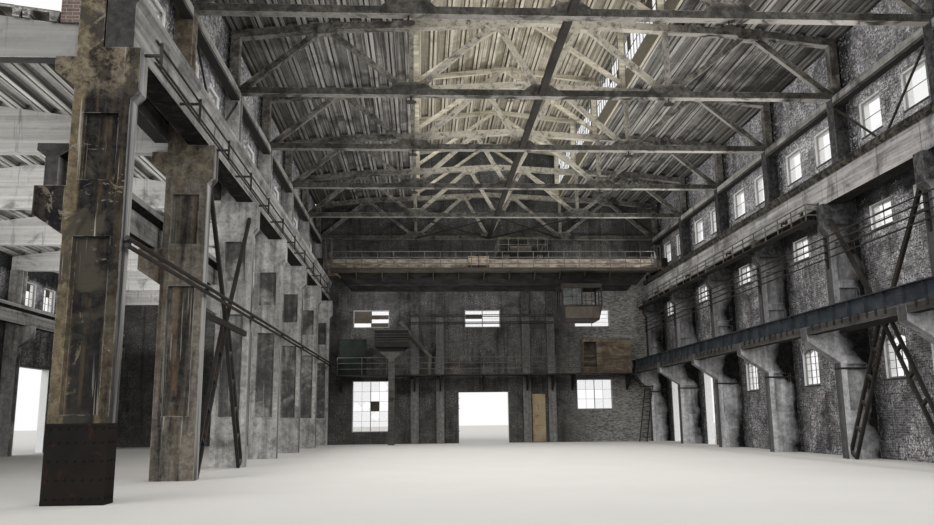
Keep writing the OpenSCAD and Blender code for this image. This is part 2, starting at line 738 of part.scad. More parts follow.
// Glazed openings of the end wall, each as left edge, sill, width and height.
end_windows = [
    [end_openings[0][0], left_end_sill, end_win_w, end_head - left_end_sill],
    [end_openings[2][0], right_end_sill, end_win_w, end_head - right_end_sill],
    [end_openings[0][0], end_top_sill, end_win_w, end_top_h],
    [end_mid_x - end_win_w / 2, end_top_sill, end_win_w, end_top_h],
    [end_openings[2][0], end_top_sill, end_win_w, end_top_h]
];
glass_t = 8;
// Depth at which the frames sit behind the wall's inner face.
frame_in = wall_t * 0.22;
module side_frames(x, windows)
    for (w = windows) translate([0, w[0], w[1]])
        along_x(x + frame_in, x + frame_in + frame_t) frame_outline(w[2], w[3], w[4], frame_face);
module side_panes(x, windows)
    for (w = windows) translate([0, w[0], w[1]])
        along_x(x + frame_in + (frame_t - glass_t) / 2, x + frame_in + (frame_t + glass_t) / 2)
            opening_outline(w[2], w[3], w[4], frame_face);
module window_frames()
    color("#3b3a38") in_hall() {
        both_sides() side_frames(monitor_x + 20 - frame_in, monitor_windows);
        side_frames(outer_x, right_windows);
        mirror([1, 0, 0]) side_frames(outer_x, clerestory_windows);
        mirror([1, 0, 0]) side_frames(aisle_wall_x, aisle_windows);
        for (w = end_windows) translate([w[0], 0, w[1]])
            along_y(end_y + frame_in, end_y + frame_in + frame_t)
                frame_outline(w[2], w[3], 0, frame_face);
    }
module window_glass()
    color("#e6ecec") in_hall() {
        both_sides() side_panes(monitor_x + 20 - frame_in, monitor_windows);
        side_panes(outer_x, right_windows);
        mirror([1, 0, 0]) side_panes(outer_x, clerestory_windows);
        mirror([1, 0, 0]) side_panes(aisle_wall_x, aisle_windows);
        for (w = end_windows)
            block([w[0] + frame_face, end_y + frame_in + (frame_t - glass_t) / 2, w[1] + frame_face],
                [w[0] + w[2] - frame_face, end_y + frame_in + (frame_t + glass_t) / 2,
                    w[1] + w[3] - frame_face]);
    }

// Gallery along the end wall, on steel brackets.
gallery_x0 = -inner_x + 600;
gallery_x1 = inner_x - runway_reach - 150;
gallery_y0 = end_y - end_gap + 20 - gallery_w;
gallery_back = end_y - end_gap + 20;
gallery_t = 80;
wall_bracket_x = [gallery_x0 + 150, end_openings[0][1] + 300, end_mid_x, end_openings[2][0] - 300,
    gallery_x1 - 150];
module gallery_bracket(x, back) {
    bracket = 90;
    foot = gallery_w * 0.75;
    translate([0, 0, gallery_z - gallery_t])
        along_x(x - bracket / 2, x + bracket / 2) polygon([
            [gallery_y0 + 100, 1], [gallery_y0 + 100, -120], [back - 120, -foot],
            [back, -foot], [back, 1]
        ]);
}
module gallery_deck()
    color("#4a4037") in_hall() {
        block([gallery_x0, gallery_y0, gallery_z - gallery_t], [gallery_x1, gallery_back, gallery_z]);
        for (x = end_col_x) gallery_bracket(x, gallery_back);
        for (x = wall_bracket_x) gallery_bracket(x, end_y);
        girder_walkway();
    }
// Maintenance walkway hung on the right crane girders, with a wider basket at its near end.
basket_bay = min(2, bays - 1);
basket_y = basket_bay * bay + col_w / 2 + 15;
basket_l = 1450;
side_walk_x = inner_x - crane_seat_reach - 400;
side_walk_z = crane_seat_z - 480;
module girder_walkway() {
    plate = 40;
    tip = inner_x - crane_seat_reach;
    web = girder_x - girder_web / 2;
    block([side_walk_x, basket_y, side_walk_z - plate], [inner_x, basket_y + basket_l, side_walk_z]);
    block([side_walk_x, basket_y, side_walk_z - plate], [tip - 20, hall_l, side_walk_z]);
    for (y = [basket_y + 150, basket_y + basket_l - 60])
        hanger(y, inner_x - 60, web);
    for (i = [basket_bay:bays - 1])
        hanger((i + 0.5) * bay, tip - 80, web);
    for (i = [basket_bay + 1:bays])
        block([side_walk_x + 100, i * bay - (i == bays ? 90 : 45), side_walk_z - 160],
            [tip, i * bay + (i == bays ? 0 : 45), side_walk_z - plate + 1]);
}
// Flat hanger from a deck up to the web of the crane girder.
module hanger(y, x, web) {
    block([x, y - 30, side_walk_z - 1], [x + 60, y + 30, crane_seat_z + 80]);
    block([x, y - 30, crane_seat_z + 20], [web, y + 30, crane_seat_z + 80]);
}

// A railing along X: posts, a top rail and two lower ones.
module railing(x0, x1, y, z, h, gap) {
    tube = 40;
    n = max(1, round((x1 - x0 - tube) / gap));
    for (k = [0:n])
        block([x0 + k * (x1 - x0 - tube) / n, y - tube / 2, z],
            [x0 + k * (x1 - x0 - tube) / n + tube, y + tube / 2, z + h]);
    for (share = [0.35, 0.68, 1])
        block([x0, y - tube / 2, z + h * share - tube], [x1, y + tube / 2, z + h * share]);
}
// Railings of the gallery and of the walkway on the right crane girders.
module gallery_railing() {
    low = 600;
    color("#5d574e") in_hall() {
        railing(gallery_x0, gallery_x1 - 350, gallery_y0 + 40, gallery_z, rail_h, 1500);
        rotate([0, 0, 90])
            railing(basket_y, hall_l, -side_walk_x - 20, side_walk_z, low, 1200);
        railing(side_walk_x, inner_x - 80, basket_y + 20, side_walk_z, low, 300);
    }
}

// Steps from the gallery's right end down to a landing, and a leaning ladder below it.
module gallery_ladder() {
    side = 50;
    wide = 450;
    y0 = gallery_y0 + 50;
    step_w = 600;
    landing_z = gallery_z - 800;
    landing_x = [gallery_x1 + 600, inner_x - 60];
    treads = 5;
    drop = (gallery_z - landing_z) / treads;
    go = (landing_x[0] - gallery_x1) / treads;
    foot_x = landing_x[0] - 450;
    head_x = landing_x[0] + 60;
    rungs = 12;
    color("#6a6052") in_hall() {
        for (y = [y0, y0 + step_w - side])
            along_y(y, y + side) polygon([
                [gallery_x1, gallery_z], [landing_x[0] + 1, landing_z], [landing_x[0] + 1, landing_z - 50],
                [gallery_x1 + 60, landing_z - 50 + 620], [gallery_x1, gallery_z - gallery_t]
            ]);
        for (k = [1:treads - 1])
            block([gallery_x1 + (k - 0.5) * go, y0 + 1, gallery_z - k * drop - 30],
                [gallery_x1 + (k + 0.5) * go, y0 + step_w - 1, gallery_z - k * drop]);
        block([landing_x[0], y0, landing_z - 50], [landing_x[1], hall_l - col_w / 2, landing_z]);
        along_y(y0 - side, y0 + 1) {
            for (x = [0, wide])
                bar([foot_x + x, 30], [head_x + x, landing_z + 30], side);
            for (k = [1:rungs]) let (z = k * landing_z / (rungs + 1))
                translate([foot_x + (head_x - foot_x) * z / landing_z, z]) square([wide, 30]);
            for (x = [0, wide]) translate([foot_x + x - 40, 0]) square([80, 40]);
        }
    }
}

// Sheet clad cabin on the gallery with a doorway at its left, and a screen of sheet at the left end.
booth_wide = 3000;
booth_door_w = 800;
booth_door_h = 1950;
module control_booth() {
    deep = 900;
    high = 2150;
    skin = 40;
    x = gallery_x1 - 50 - booth_wide;
    y = gallery_back - deep;
    screen_w = 1750;
    screen_h = 2180;
    frame = 60;
    color("#7a5b40") in_hall() {
        difference() {
            block([x, y, gallery_z], [x + booth_wide, gallery_back, gallery_z + high]);
            block([x + skin, y + skin, gallery_z + skin],
                [x + booth_wide - skin, gallery_back - skin, gallery_z + high - skin]);
            block([x + skin, y - 1, gallery_z + skin],
                [x + skin + booth_door_w, y + skin + 1, gallery_z + booth_door_h]);
        }
        difference() {
            block([gallery_x0, y, gallery_z], [gallery_x0 + screen_w, y + frame, gallery_z + screen_h]);
            block([gallery_x0 + frame, y - 1, gallery_z + frame],
                [gallery_x0 + screen_w - frame, y + frame / 2, gallery_z + screen_h - frame]);
        }
    }
}

// Lookout box on a concrete post before the end wall.
module lookout_platform() {
    post = 380;
    x = end_openings[0][1] + 245;
    wide = 2000;
    deep = 1100;
    walk = 350;
    y = gallery_y0 - walk - deep / 2;
    floor_z = gallery_z + 1550;
    fence = 1000;
    skin = 40;
    color("#4f4a44") in_hall() union() {
        block([x - post / 2, y - post / 2, 0], [x + post / 2, y + post / 2, floor_z - 350]);
        block([x - 60, y, gallery_z - gallery_t], [x + 60, gallery_y0, gallery_z]);
        along_y(y - post / 2, y + post / 2) polygon([
            [x - post / 2, floor_z - 700], [x + post / 2, floor_z - 700],
            [x + wide / 2, floor_z], [x - wide / 2, floor_z]
        ]);
        difference() {
            block([x - wide / 2, y - deep / 2, floor_z - 1],
                [x + wide / 2, y + deep / 2, floor_z + fence]);
            block([x - wide / 2 + skin, y - deep / 2 + skin, floor_z + skin],
                [x + wide / 2 - skin, y + deep / 2 - skin, floor_z + fence + 1]);
            for (z = [350, 650])
                block([x - wide / 2 + 80, y - deep / 2 - 1, floor_z + z],
                    [x + wide / 2 - 80, y - deep / 2 + skin + 1, floor_z + z + 240]);
            block([x - wide / 2 - 1, y - deep / 2 + 80, floor_z + 350],
                [x + wide / 2 + 1, y + deep / 2 - 80, floor_z + fence - 110]);
        }
    }
}

// Inclined pipe down to the gallery's deck, with an elbow, held off the end wall by two clips.
chute_r = 130;
chute_low = [end_mid_x - 3360, gallery_z + 1140];
chute_high = [end_mid_x - 5180, gallery_z + 3320];
module chute_pipe() {
    wall = 12;
    clip_t = 60;
    y = gallery_back - chute_r - 60;
    run = chute_high - chute_low;
    color("#5a5149") in_hall() {
        difference() {
            union() {
                chute_run(chute_r, y, 0, 0);
                translate([chute_low[0], y, gallery_z]) cylinder(r = chute_r + 50, h = 30);
                translate([chute_low[0], y, chute_low[1]]) sphere(r = chute_r + 25);
            }
            chute_run(chute_r - wall, y, 1, 50);
        }
        for (share = [0.2, 0.85])
            translate([chute_low[0] + run[0] * share, 0, chute_low[1] + run[1] * share])
                block([-clip_t / 2, y + chute_r - 8, -clip_t], [clip_t / 2, end_y, clip_t]);
    }
}
// Sloped and upright runs of the pipe, longer by extra at their ends and by past at the elbow.
module chute_run(r, y, extra, past) {
    run = chute_high - chute_low;
    translate([chute_low[0], y, chute_low[1]]) rotate([0, atan2(run[0], run[1]), 0])
        translate([0, 0, -past]) cylinder(r = r, h = norm(run) + extra + past);
    translate([chute_low[0], y, gallery_z - extra])
        cylinder(r = r, h = chute_low[1] - gallery_z + extra + past);
}

// Cross bracing between two columns of a side, in the plane of their inner ribs.
brace_bay = min(1, bays - 2);
module battened_bar(p, q, gap, w) {
    run = q - p;
    n = round(norm(run) / 900);
    translate(p) rotate(atan2(run[1], run[0])) {
        for (s = [-1, 1]) translate([0, s * gap / 2 - w / 2]) square([norm(run), w]);
        for (k = [0:n]) translate([k * (norm(run) - w) / n, -gap / 2]) square([w, gap]);
    }
}
module bracing() {
    w = 90;
    y0 = brace_bay * bay + col_w / 2;
    y1 = (brace_bay + 1) * bay - col_w / 2;
    mid = (y0 + y1) / 2;
    tie_z = runway_seat_z - 120;
    along_x(inner_x + 60, inner_x + 160) intersection() {
        translate([y0, 0]) square([y1 - y0, crane_seat_z - 100]);
        union() {
            battened_bar([mid - 120, tie_z], [y0 + 100, 120], 380, w);
            battened_bar([mid + 120, tie_z], [y1 - 100, 120], 380, w);
            translate([y0, tie_z - 80]) square([y1 - y0, 160]);
            bar([mid, tie_z + 60], [y0, crane_seat_z - 600], 140);
            bar([mid, tie_z + 60], [y1, crane_seat_z - 600], 140);
        }
    }
    along_x(outer_x - upper_d + 60, outer_x - upper_d + 110) intersection() {
        translate([y0, girder_top]) square([y1 - y0, eaves_beam_z - 10 - girder_top]);
        union() {
            translate([y0, girder_top + 150]) square([y1 - y0, 90]);
            bar([mid, girder_top + 180], [y0, eaves_beam_z - 100], 70);
            bar([mid, girder_top + 180], [y1, eaves_beam_z - 100], 70);
        }
    }
}
module column_bracing() color("#5b5853") in_hall() both_sides() bracing();

// Service pipes: two along the left columns, and two across the end wall at its upper windows.
module service_pipes() {
    r = 45;
    z = 4850;
    reach = 70;
    color("#3a3330") in_hall() mirror([1, 0, 0]) {
        for (s = [-1, 1])
            translate([inner_x - reach - r, near_y, z + s * 75]) rotate([-90, 0, 0])
                cylinder(r = r, h = hall_l - near_y);
        at_frames() block([inner_x - reach - r, -40, z - 60], [inner_x, 40, z + 60]);
    }
    end_r = 28;
    end_reach = 80;
    color("#3a3330") in_hall() for (z = end_pipe_z) {
        translate([end_col_x[0] - 500, gallery_back - end_reach, z]) rotate([0, 90, 0])
            cylinder(r = end_r, h = end_col_x[3] - end_col_x[0] + 700);
        for (x = end_col_x)
            block([x - 40, gallery_back - end_reach, z - 20], [x + 40, gallery_back, z + 20]);
    }
}
end_pipe_z = [for (z = [200, 300, 650, 750]) end_top_sill + z];
// Disc lamps under the trusses' lower panel points; the last truss stands on the end columns.
module lamps() {
    r = 190;
    stem = 120;
    drop = 215;
    color("#2c2b2a") in_hall() for (i = [0:bays - 1]) translate([0, i * bay, truss_seat_z])
        both_sides() translate([monitor_x, 0, 0]) mirror([0, 0, 1]) rotate_extrude() polygon([
            [0, 0], [25, 0], [25, stem], [r, drop - 15], [r, drop], [0, drop]
        ]);
}

// Bridge crane. Its pieces are drawn from its own middle, at hall height.
module in_crane() in_hall() translate([0, crane_y, 0]) children();
bridge_top = rail_top + 650;
bridge_end = girder_x - 150;
rolling = 0.3;
module bridge_girders() {
    haunch = 900;
    color("#2b2a29") in_crane() for (s = [-1, 1]) {
        along_y(s * girder_y - bridge_w / 2, s * girder_y + bridge_w / 2) polygon([
            [-bridge_end, bridge_top - bridge_end_h], [-bridge_end + 575, bridge_top - bridge_end_h],
            [-bridge_end + 575 + haunch, bridge_top - bridge_h],
            [bridge_end - 575 - haunch, bridge_top - bridge_h],
            [bridge_end - 575, bridge_top - bridge_end_h], [bridge_end, bridge_top - bridge_end_h],
            [bridge_end, bridge_top], [-bridge_end, bridge_top]
        ]);
        block([-bridge_end + 500, s * girder_y - 30, bridge_top - 1],
            [bridge_end - 500, s * girder_y + 30, bridge_top + trolley_rail_h]);
        for (x = [-bridge_end + 380, bridge_end - 500])
            block([x, s * girder_y - 100, bridge_top - 1], [x + 120, s * girder_y + 100, bridge_top + 320]);
    }
}

wheel_y = carriage_l / 2 - wheel_r - 100;
wheel_z = rail_top + rolling + wheel_r;
axle_r = 45;
module end_carriages()
    color("#33302d") in_crane() both_sides() translate([girder_x, 0, 0]) difference() {
        block([-150, -carriage_l / 2, rail_top + 150], [150, carriage_l / 2, bridge_top]);
        for (s = [-1, 1]) {
            translate([-75, s * wheel_y, wheel_z]) rotate([0, 90, 0]) cylinder(r = wheel_r + 60, h = 150);
            block([-75, s * wheel_y - wheel_r - 60, rail_top + 100],
                [75, s * wheel_y + wheel_r + 60, wheel_z]);
            translate([-200, s * wheel_y, wheel_z]) rotate([0, 90, 0])
                cylinder(r = axle_r + rolling, h = 400);
        }
    }
// Flanged wheel on its axle, turned about X.
module rail_wheel(r, tread, flange, axle_l) rotate([0, 90, 0]) {
    cylinder(r = r, h = tread + 2 * flange, center = true);
    for (s = [-1, 1]) translate([0, 0, s * (tread + flange) / 2])
        cylinder(r = r + 22, h = flange, center = true);
    cylinder(r = axle_r, h = axle_l, center = true);
}
module crane_wheels()
    color("#4a443e") in_crane() both_sides() for (s = [-1, 1])
        translate([girder_x, s * wheel_y, wheel_z]) rail_wheel(wheel_r, 82, 25, 300);

walk_y = girder_y + bridge_w / 2;
walk_w = 800;
walk_z = rail_top - 100;
walk_x = inner_x - 400;
walk_y0 = -walk_y - walk_w;
module crane_walkway() {
    toe = 120;
    plate = 60;
    edge = 10;
    arm_gap = 1500;
    arm_h = 440;
    cabinet_h = 850;
    cabinet_w = 580;
    cabinet_d = 430;
    cabinet_x = -1530;
    cabinet_gap = 50;
    color("#8b8474") in_crane() {
        along_x(-walk_x, walk_x) polygon([
            [walk_y0 - edge, walk_z - plate], [-walk_y, walk_z - plate], [-walk_y, walk_z],
            [walk_y0, walk_z], [walk_y0, walk_z + toe], [walk_y0 - edge, walk_z + toe]
        ]);
        for (x = [-walk_x + arm_gap:arm_gap:walk_x - arm_gap])
            along_x(x - 20, x + 20) polygon([
                [-walk_y, walk_z - plate + 1], [-walk_y, walk_z - plate - arm_h],
                [walk_y0 + 100, walk_z - plate + 1]
            ]);
        for (x = [cabinet_x, cabinet_x + cabinet_w + cabinet_gap])
            block([x, -walk_y - edge - cabinet_d, walk_z - 1],
                [x + cabinet_w, -walk_y - edge, walk_z + cabinet_h]);
    }
}
// Railing along the crane's walkway, with an entry cage over each end carriage.
module crane_railing()
    color("#4d4a44") in_crane() {
        railing(-walk_x, walk_x, walk_y0 + 20, walk_z, 1100, 900);
        entry_cage(-walk_x - 300, 1850);
        entry_cage(walk_x - 100, 1450);
    }
module entry_cage(x0, high) {
    tube = 50;
    wide = 400;
    deep = 700;
    for (x = [x0, x0 + wide - tube], y = [walk_y0, walk_y0 + deep - tube])
        block([x, y, walk_z], [x + tube, y + tube, walk_z + high]);
    for (z = [walk_z + 60, walk_z + high / 2, walk_z + high - tube]) {
        for (y = [walk_y0, walk_y0 + deep - tube])
            block([x0, y, z], [x0 + wide, y + tube, z + tube]);
        for (x = [x0, x0 + wide - tube])
            block([x, walk_y0, z], [x + tube, walk_y0 + deep, z + tube]);
    }
}

// Cab under the near bridge girder: a shell with window openings all round.
cab_d = 1800;
cab_top = bridge_top - bridge_h - 100;
cab_y0 = -walk_y - cab_d / 2;
module crane_cab() {
    skin = 50;
    sill = 850;
    head = 250;
    post = 90;
    floor_z = cab_top - cab_h;
    slant = 220;
    color("#38332e") in_crane() difference() {
        union() {
            along_y(cab_y0, cab_y0 + cab_d) polygon([
                [cab_x + slant, floor_z], [cab_x + cab_w - slant, floor_z],
                [cab_x + cab_w, floor_z + sill], [cab_x + cab_w, cab_top],
                [cab_x, cab_top], [cab_x, floor_z + sill]
            ]);
            for (x = [cab_x + 300, cab_x + cab_w - 400])
                block([x, -girder_y - 100, cab_top - 1], [x + 100, -girder_y + 100, cab_top + 100]);
        }
        along_y(cab_y0 + skin, cab_y0 + cab_d - skin) polygon([
            [cab_x + slant + skin, floor_z + skin], [cab_x + cab_w - slant - skin, floor_z + skin],
            [cab_x + cab_w - skin, floor_z + sill], [cab_x + cab_w - skin, cab_top - skin],
            [cab_x + skin, cab_top - skin], [cab_x + skin, floor_z + sill]
        ]);
        for (k = [0:1]) {
            pane = (cab_w - 3 * post) / 2;
            x = cab_x + post + k * (pane + post);
            block([x, cab_y0 - 1, floor_z + sill + 50], [x + pane, cab_y0 + cab_d + 1, cab_top - head]);
        }
        for (k = [0:1]) {
            pane = (cab_d - 3 * post) / 2;
            y = cab_y0 + post + k * (pane + post);
            block([cab_x - 1, y, floor_z + sill + 50], [cab_x + cab_w + 1, y + pane, cab_top - head]);
        }
    }
}

// Trolley. Its pieces are drawn from its own middle.
module in_trolley() in_crane() translate([trolley_x, 0, 0]) children();
trolley_l = 3000;
trolley_wheel_r = 150;
trolley_wheel_x = 1000;
trolley_rail_top = bridge_top + trolley_rail_h;
trolley_wheel_z = trolley_rail_top + rolling + trolley_wheel_r;
trolley_floor = trolley_wheel_z + trolley_wheel_r + 60;
drum_r = 260;
drum_z = trolley_floor + 200 + drum_r;
drum_l = 1500;
module trolley_frame() {
    deck = 100;
    half = girder_y + 180;
    color("#3a3531") in_trolley() difference() {
        union() {
            block([-trolley_l / 2, -half, trolley_floor], [trolley_l / 2, half, trolley_floor + deck]);
            for (sx = [-1, 1], sy = [-1, 1], side = [-1, 1])
                translate([sx * trolley_wheel_x, sy * girder_y + side * 100, 0])
                    block([-100, -20, trolley_wheel_z - 100], [100, 20, trolley_floor + 1]);
            for (s = [-1, 1])
                translate([s * (drum_l / 2 + 80), 0, 0])
                    block([-50, -drum_r, trolley_floor], [50, drum_r, drum_z + 120]);
        }
        for (sx = [-1, 1], sy = [-1, 1])
            translate([sx * trolley_wheel_x, sy * girder_y, trolley_wheel_z]) rotate([90, 0, 0])
                cylinder(r = axle_r + rolling, h = 400, center = true);
        translate([0, 0, drum_z]) rotate([0, 90, 0])
            cylinder(r = axle_r + rolling, h = drum_l + 400, center = true);
        block([-drum_l / 2 + 100, -350, trolley_floor - 1],
            [drum_l / 2 - 100, 350, trolley_floor + deck + 1]);
    }
    hoist_drive(deck);
}
// Gearbox and motor beside the drum, standing on the trolley's deck.
module hoist_drive(deck) {
    box_x = drum_l / 2 + 190;
    motor_r = 170;
    color("#3a3531") in_trolley() {
        block([box_x, -drum_r - 60, trolley_floor + deck - 1], [box_x + 260, 240, drum_z + 80]);
        translate([0, 700, trolley_floor + deck]) {
            translate([-380, 0, motor_r + 60]) rotate([0, 90, 0]) cylinder(r = motor_r, h = 760);
            for (x = [-260, 200]) block([x, -motor_r, -1], [x + 60, motor_r, motor_r + 60]);
        }
    }
}
module trolley_wheels()
    color("#4a443e") in_trolley() for (sx = [-1, 1], sy = [-1, 1])
        translate([sx * trolley_wheel_x, sy * girder_y, trolley_wheel_z]) rotate([0, 0, 90])
            rail_wheel(trolley_wheel_r, 72, 20, 240);
module hoist_drum()
    color("#4d4640") in_trolley() translate([0, 0, drum_z]) rotate([0, 90, 0]) {
        cylinder(r = drum_r - 40, h = drum_l, center = true);
        for (s = [-1, 1]) translate([0, 0, s * (drum_l / 2 - 20)])
            cylinder(r = drum_r, h = 40, center = true);
        cylinder(r = axle_r, h = drum_l + 260, center = true);
    }

left_columns();
right_columns();
column_jacket();
aisle_columns();
end_columns();
left_crane_girders();
right_crane_girders();
aisle_crane_girders();
crane_rails();
lower_runway();
roof_trusses();
truss_struts();
roof_slabs();
monitor_frames();
monitor_sills();
monitor_roof_slabs();
eaves_beams();
nave_wall_piers();
nave_wall_panels();
aisle_wall_piers();
aisle_wall_panels();
end_wall_piers();
end_wall_panels();
aisle_roof_beams();
aisle_roof_slabs();
window_frames();
window_glass();
gallery_deck();
gallery_railing();
gallery_ladder();
control_booth();
lookout_platform();
chute_pipe();
column_bracing();
service_pipes();
lamps();
bridge_girders();
end_carriages();
crane_wheels();
crane_walkway();
crane_railing();
crane_cab();
trolley_frame();
trolley_wheels();
hoist_drum();
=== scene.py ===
import math
import random

import bpy
from mathutils import Matrix, Vector

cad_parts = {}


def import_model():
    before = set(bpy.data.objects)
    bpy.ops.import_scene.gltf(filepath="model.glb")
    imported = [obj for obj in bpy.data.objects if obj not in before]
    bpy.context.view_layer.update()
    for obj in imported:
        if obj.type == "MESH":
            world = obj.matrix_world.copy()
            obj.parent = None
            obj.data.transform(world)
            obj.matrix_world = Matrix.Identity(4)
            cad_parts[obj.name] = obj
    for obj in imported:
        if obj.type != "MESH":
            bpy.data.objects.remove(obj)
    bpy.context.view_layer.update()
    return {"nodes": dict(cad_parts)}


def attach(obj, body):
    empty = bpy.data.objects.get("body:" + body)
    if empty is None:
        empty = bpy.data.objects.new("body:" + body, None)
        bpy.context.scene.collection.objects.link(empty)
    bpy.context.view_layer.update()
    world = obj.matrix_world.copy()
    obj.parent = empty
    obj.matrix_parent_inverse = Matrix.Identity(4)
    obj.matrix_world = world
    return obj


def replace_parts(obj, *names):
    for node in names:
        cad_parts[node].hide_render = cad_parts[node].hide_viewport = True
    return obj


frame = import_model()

nodes = frame["nodes"]

# The hall's own axes: middle of the nave, first column line, floor. Lengths are in metres.
ORIGIN = Vector((6.3, -18.2165, 0.0))
BAY = 6.0
BAYS = 6
LENGTH = BAY * BAYS
NEAR_Y = -0.225
INNER_X = 10.0
OUTER_X = 11.1
WALL_T = 0.37
COLUMN_W = 0.45
SEAT_Z = 8.8
AISLE_WALL_X = 23.7
AISLE_MID_X = 17.4
AISLE_SLOPE = 0.135
END_Y = 36.3
END_MID_X = -0.44
FAR_Y = END_Y + WALL_T
MONITOR_X = 4.65
FOLD_X = 7.75
ROOF_END_X = 11.85
RAIL_X = 10.225
GIRDER_TOP = 10.0
CRANE_Y = 33.9
BRIDGE_HALF = 1.4
BRIDGE_TOP = 10.79
TROLLEY_X = 1.8
TROLLEY_DECK = 11.31
DRUM_Z = 11.67


# Drawing helpers

INWARD = (-1, 0, 0)
UPWARD = (0, 0, 1)
BOX_FACES = [(0, 3, 2, 1), (4, 5, 6, 7), (0, 1, 5, 4), (1, 2, 6, 5), (2, 3, 7, 6), (3, 0, 4, 7)]


def put(name, data):
    """A new object in the scene."""
    obj = bpy.data.objects.new(name, data)
    bpy.context.scene.collection.objects.link(obj)
    return obj


def ring(middle, across, up, radius, sides):
    """Corners of a polygon round a point."""
    angles = (2 * math.pi * k / sides for k in range(sides))
    return [middle + (across * math.cos(t) + up * math.sin(t)) * radius for t in angles]


def band(first, second, sides):
    """Faces that join two rings of corners, numbered from first and from second."""
    return [(first + k, first + (k + 1) % sides, second + (k + 1) % sides, second + k)
            for k in range(sides)]


def ends(sides):
    """The two end faces of a prism."""
    return [tuple(range(sides - 1, -1, -1)), tuple(range(sides, 2 * sides))]


def rectangle(u0, v0, u1, v1):
    return [(u0, v0), (u1, v0), (u1, v1), (u0, v1)]


class Shape:
    """Solids drawn in the hall's axes, gathered into one object."""

    def __init__(self):
        self.points, self.faces = [], []

    def add(self, points, faces):
        start = len(self.points)
        self.points += [tuple(ORIGIN + Vector(p)) for p in points]
        self.faces += [tuple(start + i for i in f) for f in faces]

    def box(self, lo, hi):
        outline = rectangle(*lo[:2], *hi[:2])
        self.add([(x, y, z) for z in (lo[2], hi[2]) for x, y in outline], BOX_FACES)

    def plate(self, outline, place, back, front):
        """A plate with an outline in u and v, whose thickness runs from back to front.
        place turns u, v and depth into a point."""
        n = len(outline)
        points = [place(u, v, depth) for depth in (back, front) for u, v in outline]
        self.add(points, ends(n) + band(0, n, n))

    def tube(self, a, b, radius, sides=8):
        a, b = Vector(a), Vector(b)
        axis = (b - a).normalized()
        across = axis.orthogonal().normalized()
        up = axis.cross(across)
        points = ring(a, across, up, radius, sides) + ring(b, across, up, radius, sides)
        self.add(points, band(0, sides, sides) + ends(sides))

    def head(self, foot, out, radius, height, sides=6):
        """Rivet or bolt head that stands on foot and points out."""
        foot, out = Vector(foot), Vector(out)
        across = out.orthogonal().normalized()
        up = out.cross(across)
        points = []
        for share, level in ((1.0, 0.0), (0.92, 0.6), (0.45, 1.0)):
            points += ring(foot + out * height * level, across, up, radius * share, sides)
        top = tuple(range(2 * sides, 3 * sides))
        self.add(points, [top] + band(0, sides, sides) + band(sides, 2 * sides, sides))

    def path(self, points, radius, sides=6):
        """Tube through many points, open at its ends."""
        points = [Vector(p) for p in points]
        rings, faces = [], []
        for i, p in enumerate(points):
            along = (points[min(i + 1, len(points) - 1)] - points[max(i - 1, 0)]).normalized()
            side = along.cross(Vector((0.02, 0.05, 1.0))).normalized()
            rings += ring(p, side, side.cross(along), radius, sides)
            if i:
                faces += band((i - 1) * sides, i * sides, sides)
        self.add(rings, faces)

    def piece(self, name, material, slot, body="hall", bevel=0.0, smooth=False):
        mesh = bpy.data.meshes.new(name)
        mesh.from_pydata(self.points, [], self.faces)
        mesh.update()
        mesh.materials.append(material)
        if smooth:
            mesh.shade_smooth()
        obj = put(name, mesh)
        if bevel:
            rounding = obj.modifiers.new("edges", "BEVEL")
            rounding.width = bevel
            rounding.segments = 1
            rounding.limit_method = "ANGLE"
        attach(obj, body)
        return obj


def near_column(y, reach):
    """Whether a place along the hall is close to a column line."""
    return abs((y + BAY / 2) % BAY - BAY / 2) < reach


def on_side(x):
    """Places u along the hall, v up and depth across it, at the plane x."""
    return lambda u, v, depth: (x + depth, u, v)


def on_end(y):
    """Places u across the hall, v up and depth along it, at the plane y."""
    return lambda u, v, depth: (u, y + depth, v)


# Material helpers

def colour(code):
    """Linear colour of a hexadecimal code."""
    parts = [int(code[i:i + 2], 16) / 255 for i in (0, 2, 4)]
    return tuple(p / 12.92 if p <= 0.04045 else ((p + 0.055) / 1.055) ** 2.4 for p in parts) + (1.0,)


class Nodes:
    """Shader nodes made in one tree."""

    def __init__(self, tree):
        self.tree = tree

    def node(self, kind, inputs=None, **settings):
        """Outputs of a new node."""
        made = self.tree.nodes.new("ShaderNode" + kind)
        for key, value in settings.items():
            setattr(made, key, value)
        for key, value in (inputs or {}).items():
            self.feed(made.inputs[key], value)
        return made.outputs

    def feed(self, socket, value):
        if isinstance(value, bpy.types.NodeSocket):
            self.tree.links.new(value, socket)
        else:
            socket.default_value = colour(value) if isinstance(value, str) else value

    def span(self, value, low, high, to_low=0.0, to_high=1.0):
        return self.node("MapRange", {
            "Value": value, "From Min": low, "From Max": high,
            "To Min": to_low, "To Max": to_high})[0]

    def math(self, operation, a, b=0.0):
        return self.node("Math", {0: a, 1: b}, operation=operation)[0]

    def background_rays(self):
        """1 for the rays that show the background itself, 0 for those that light the object."""
        rays = self.node("LightPath")
        seen = self.math("MAXIMUM", rays["Is Camera Ray"], rays["Is Glossy Ray"])
        return self.math("MAXIMUM", seen, rays["Is Transmission Ray"])


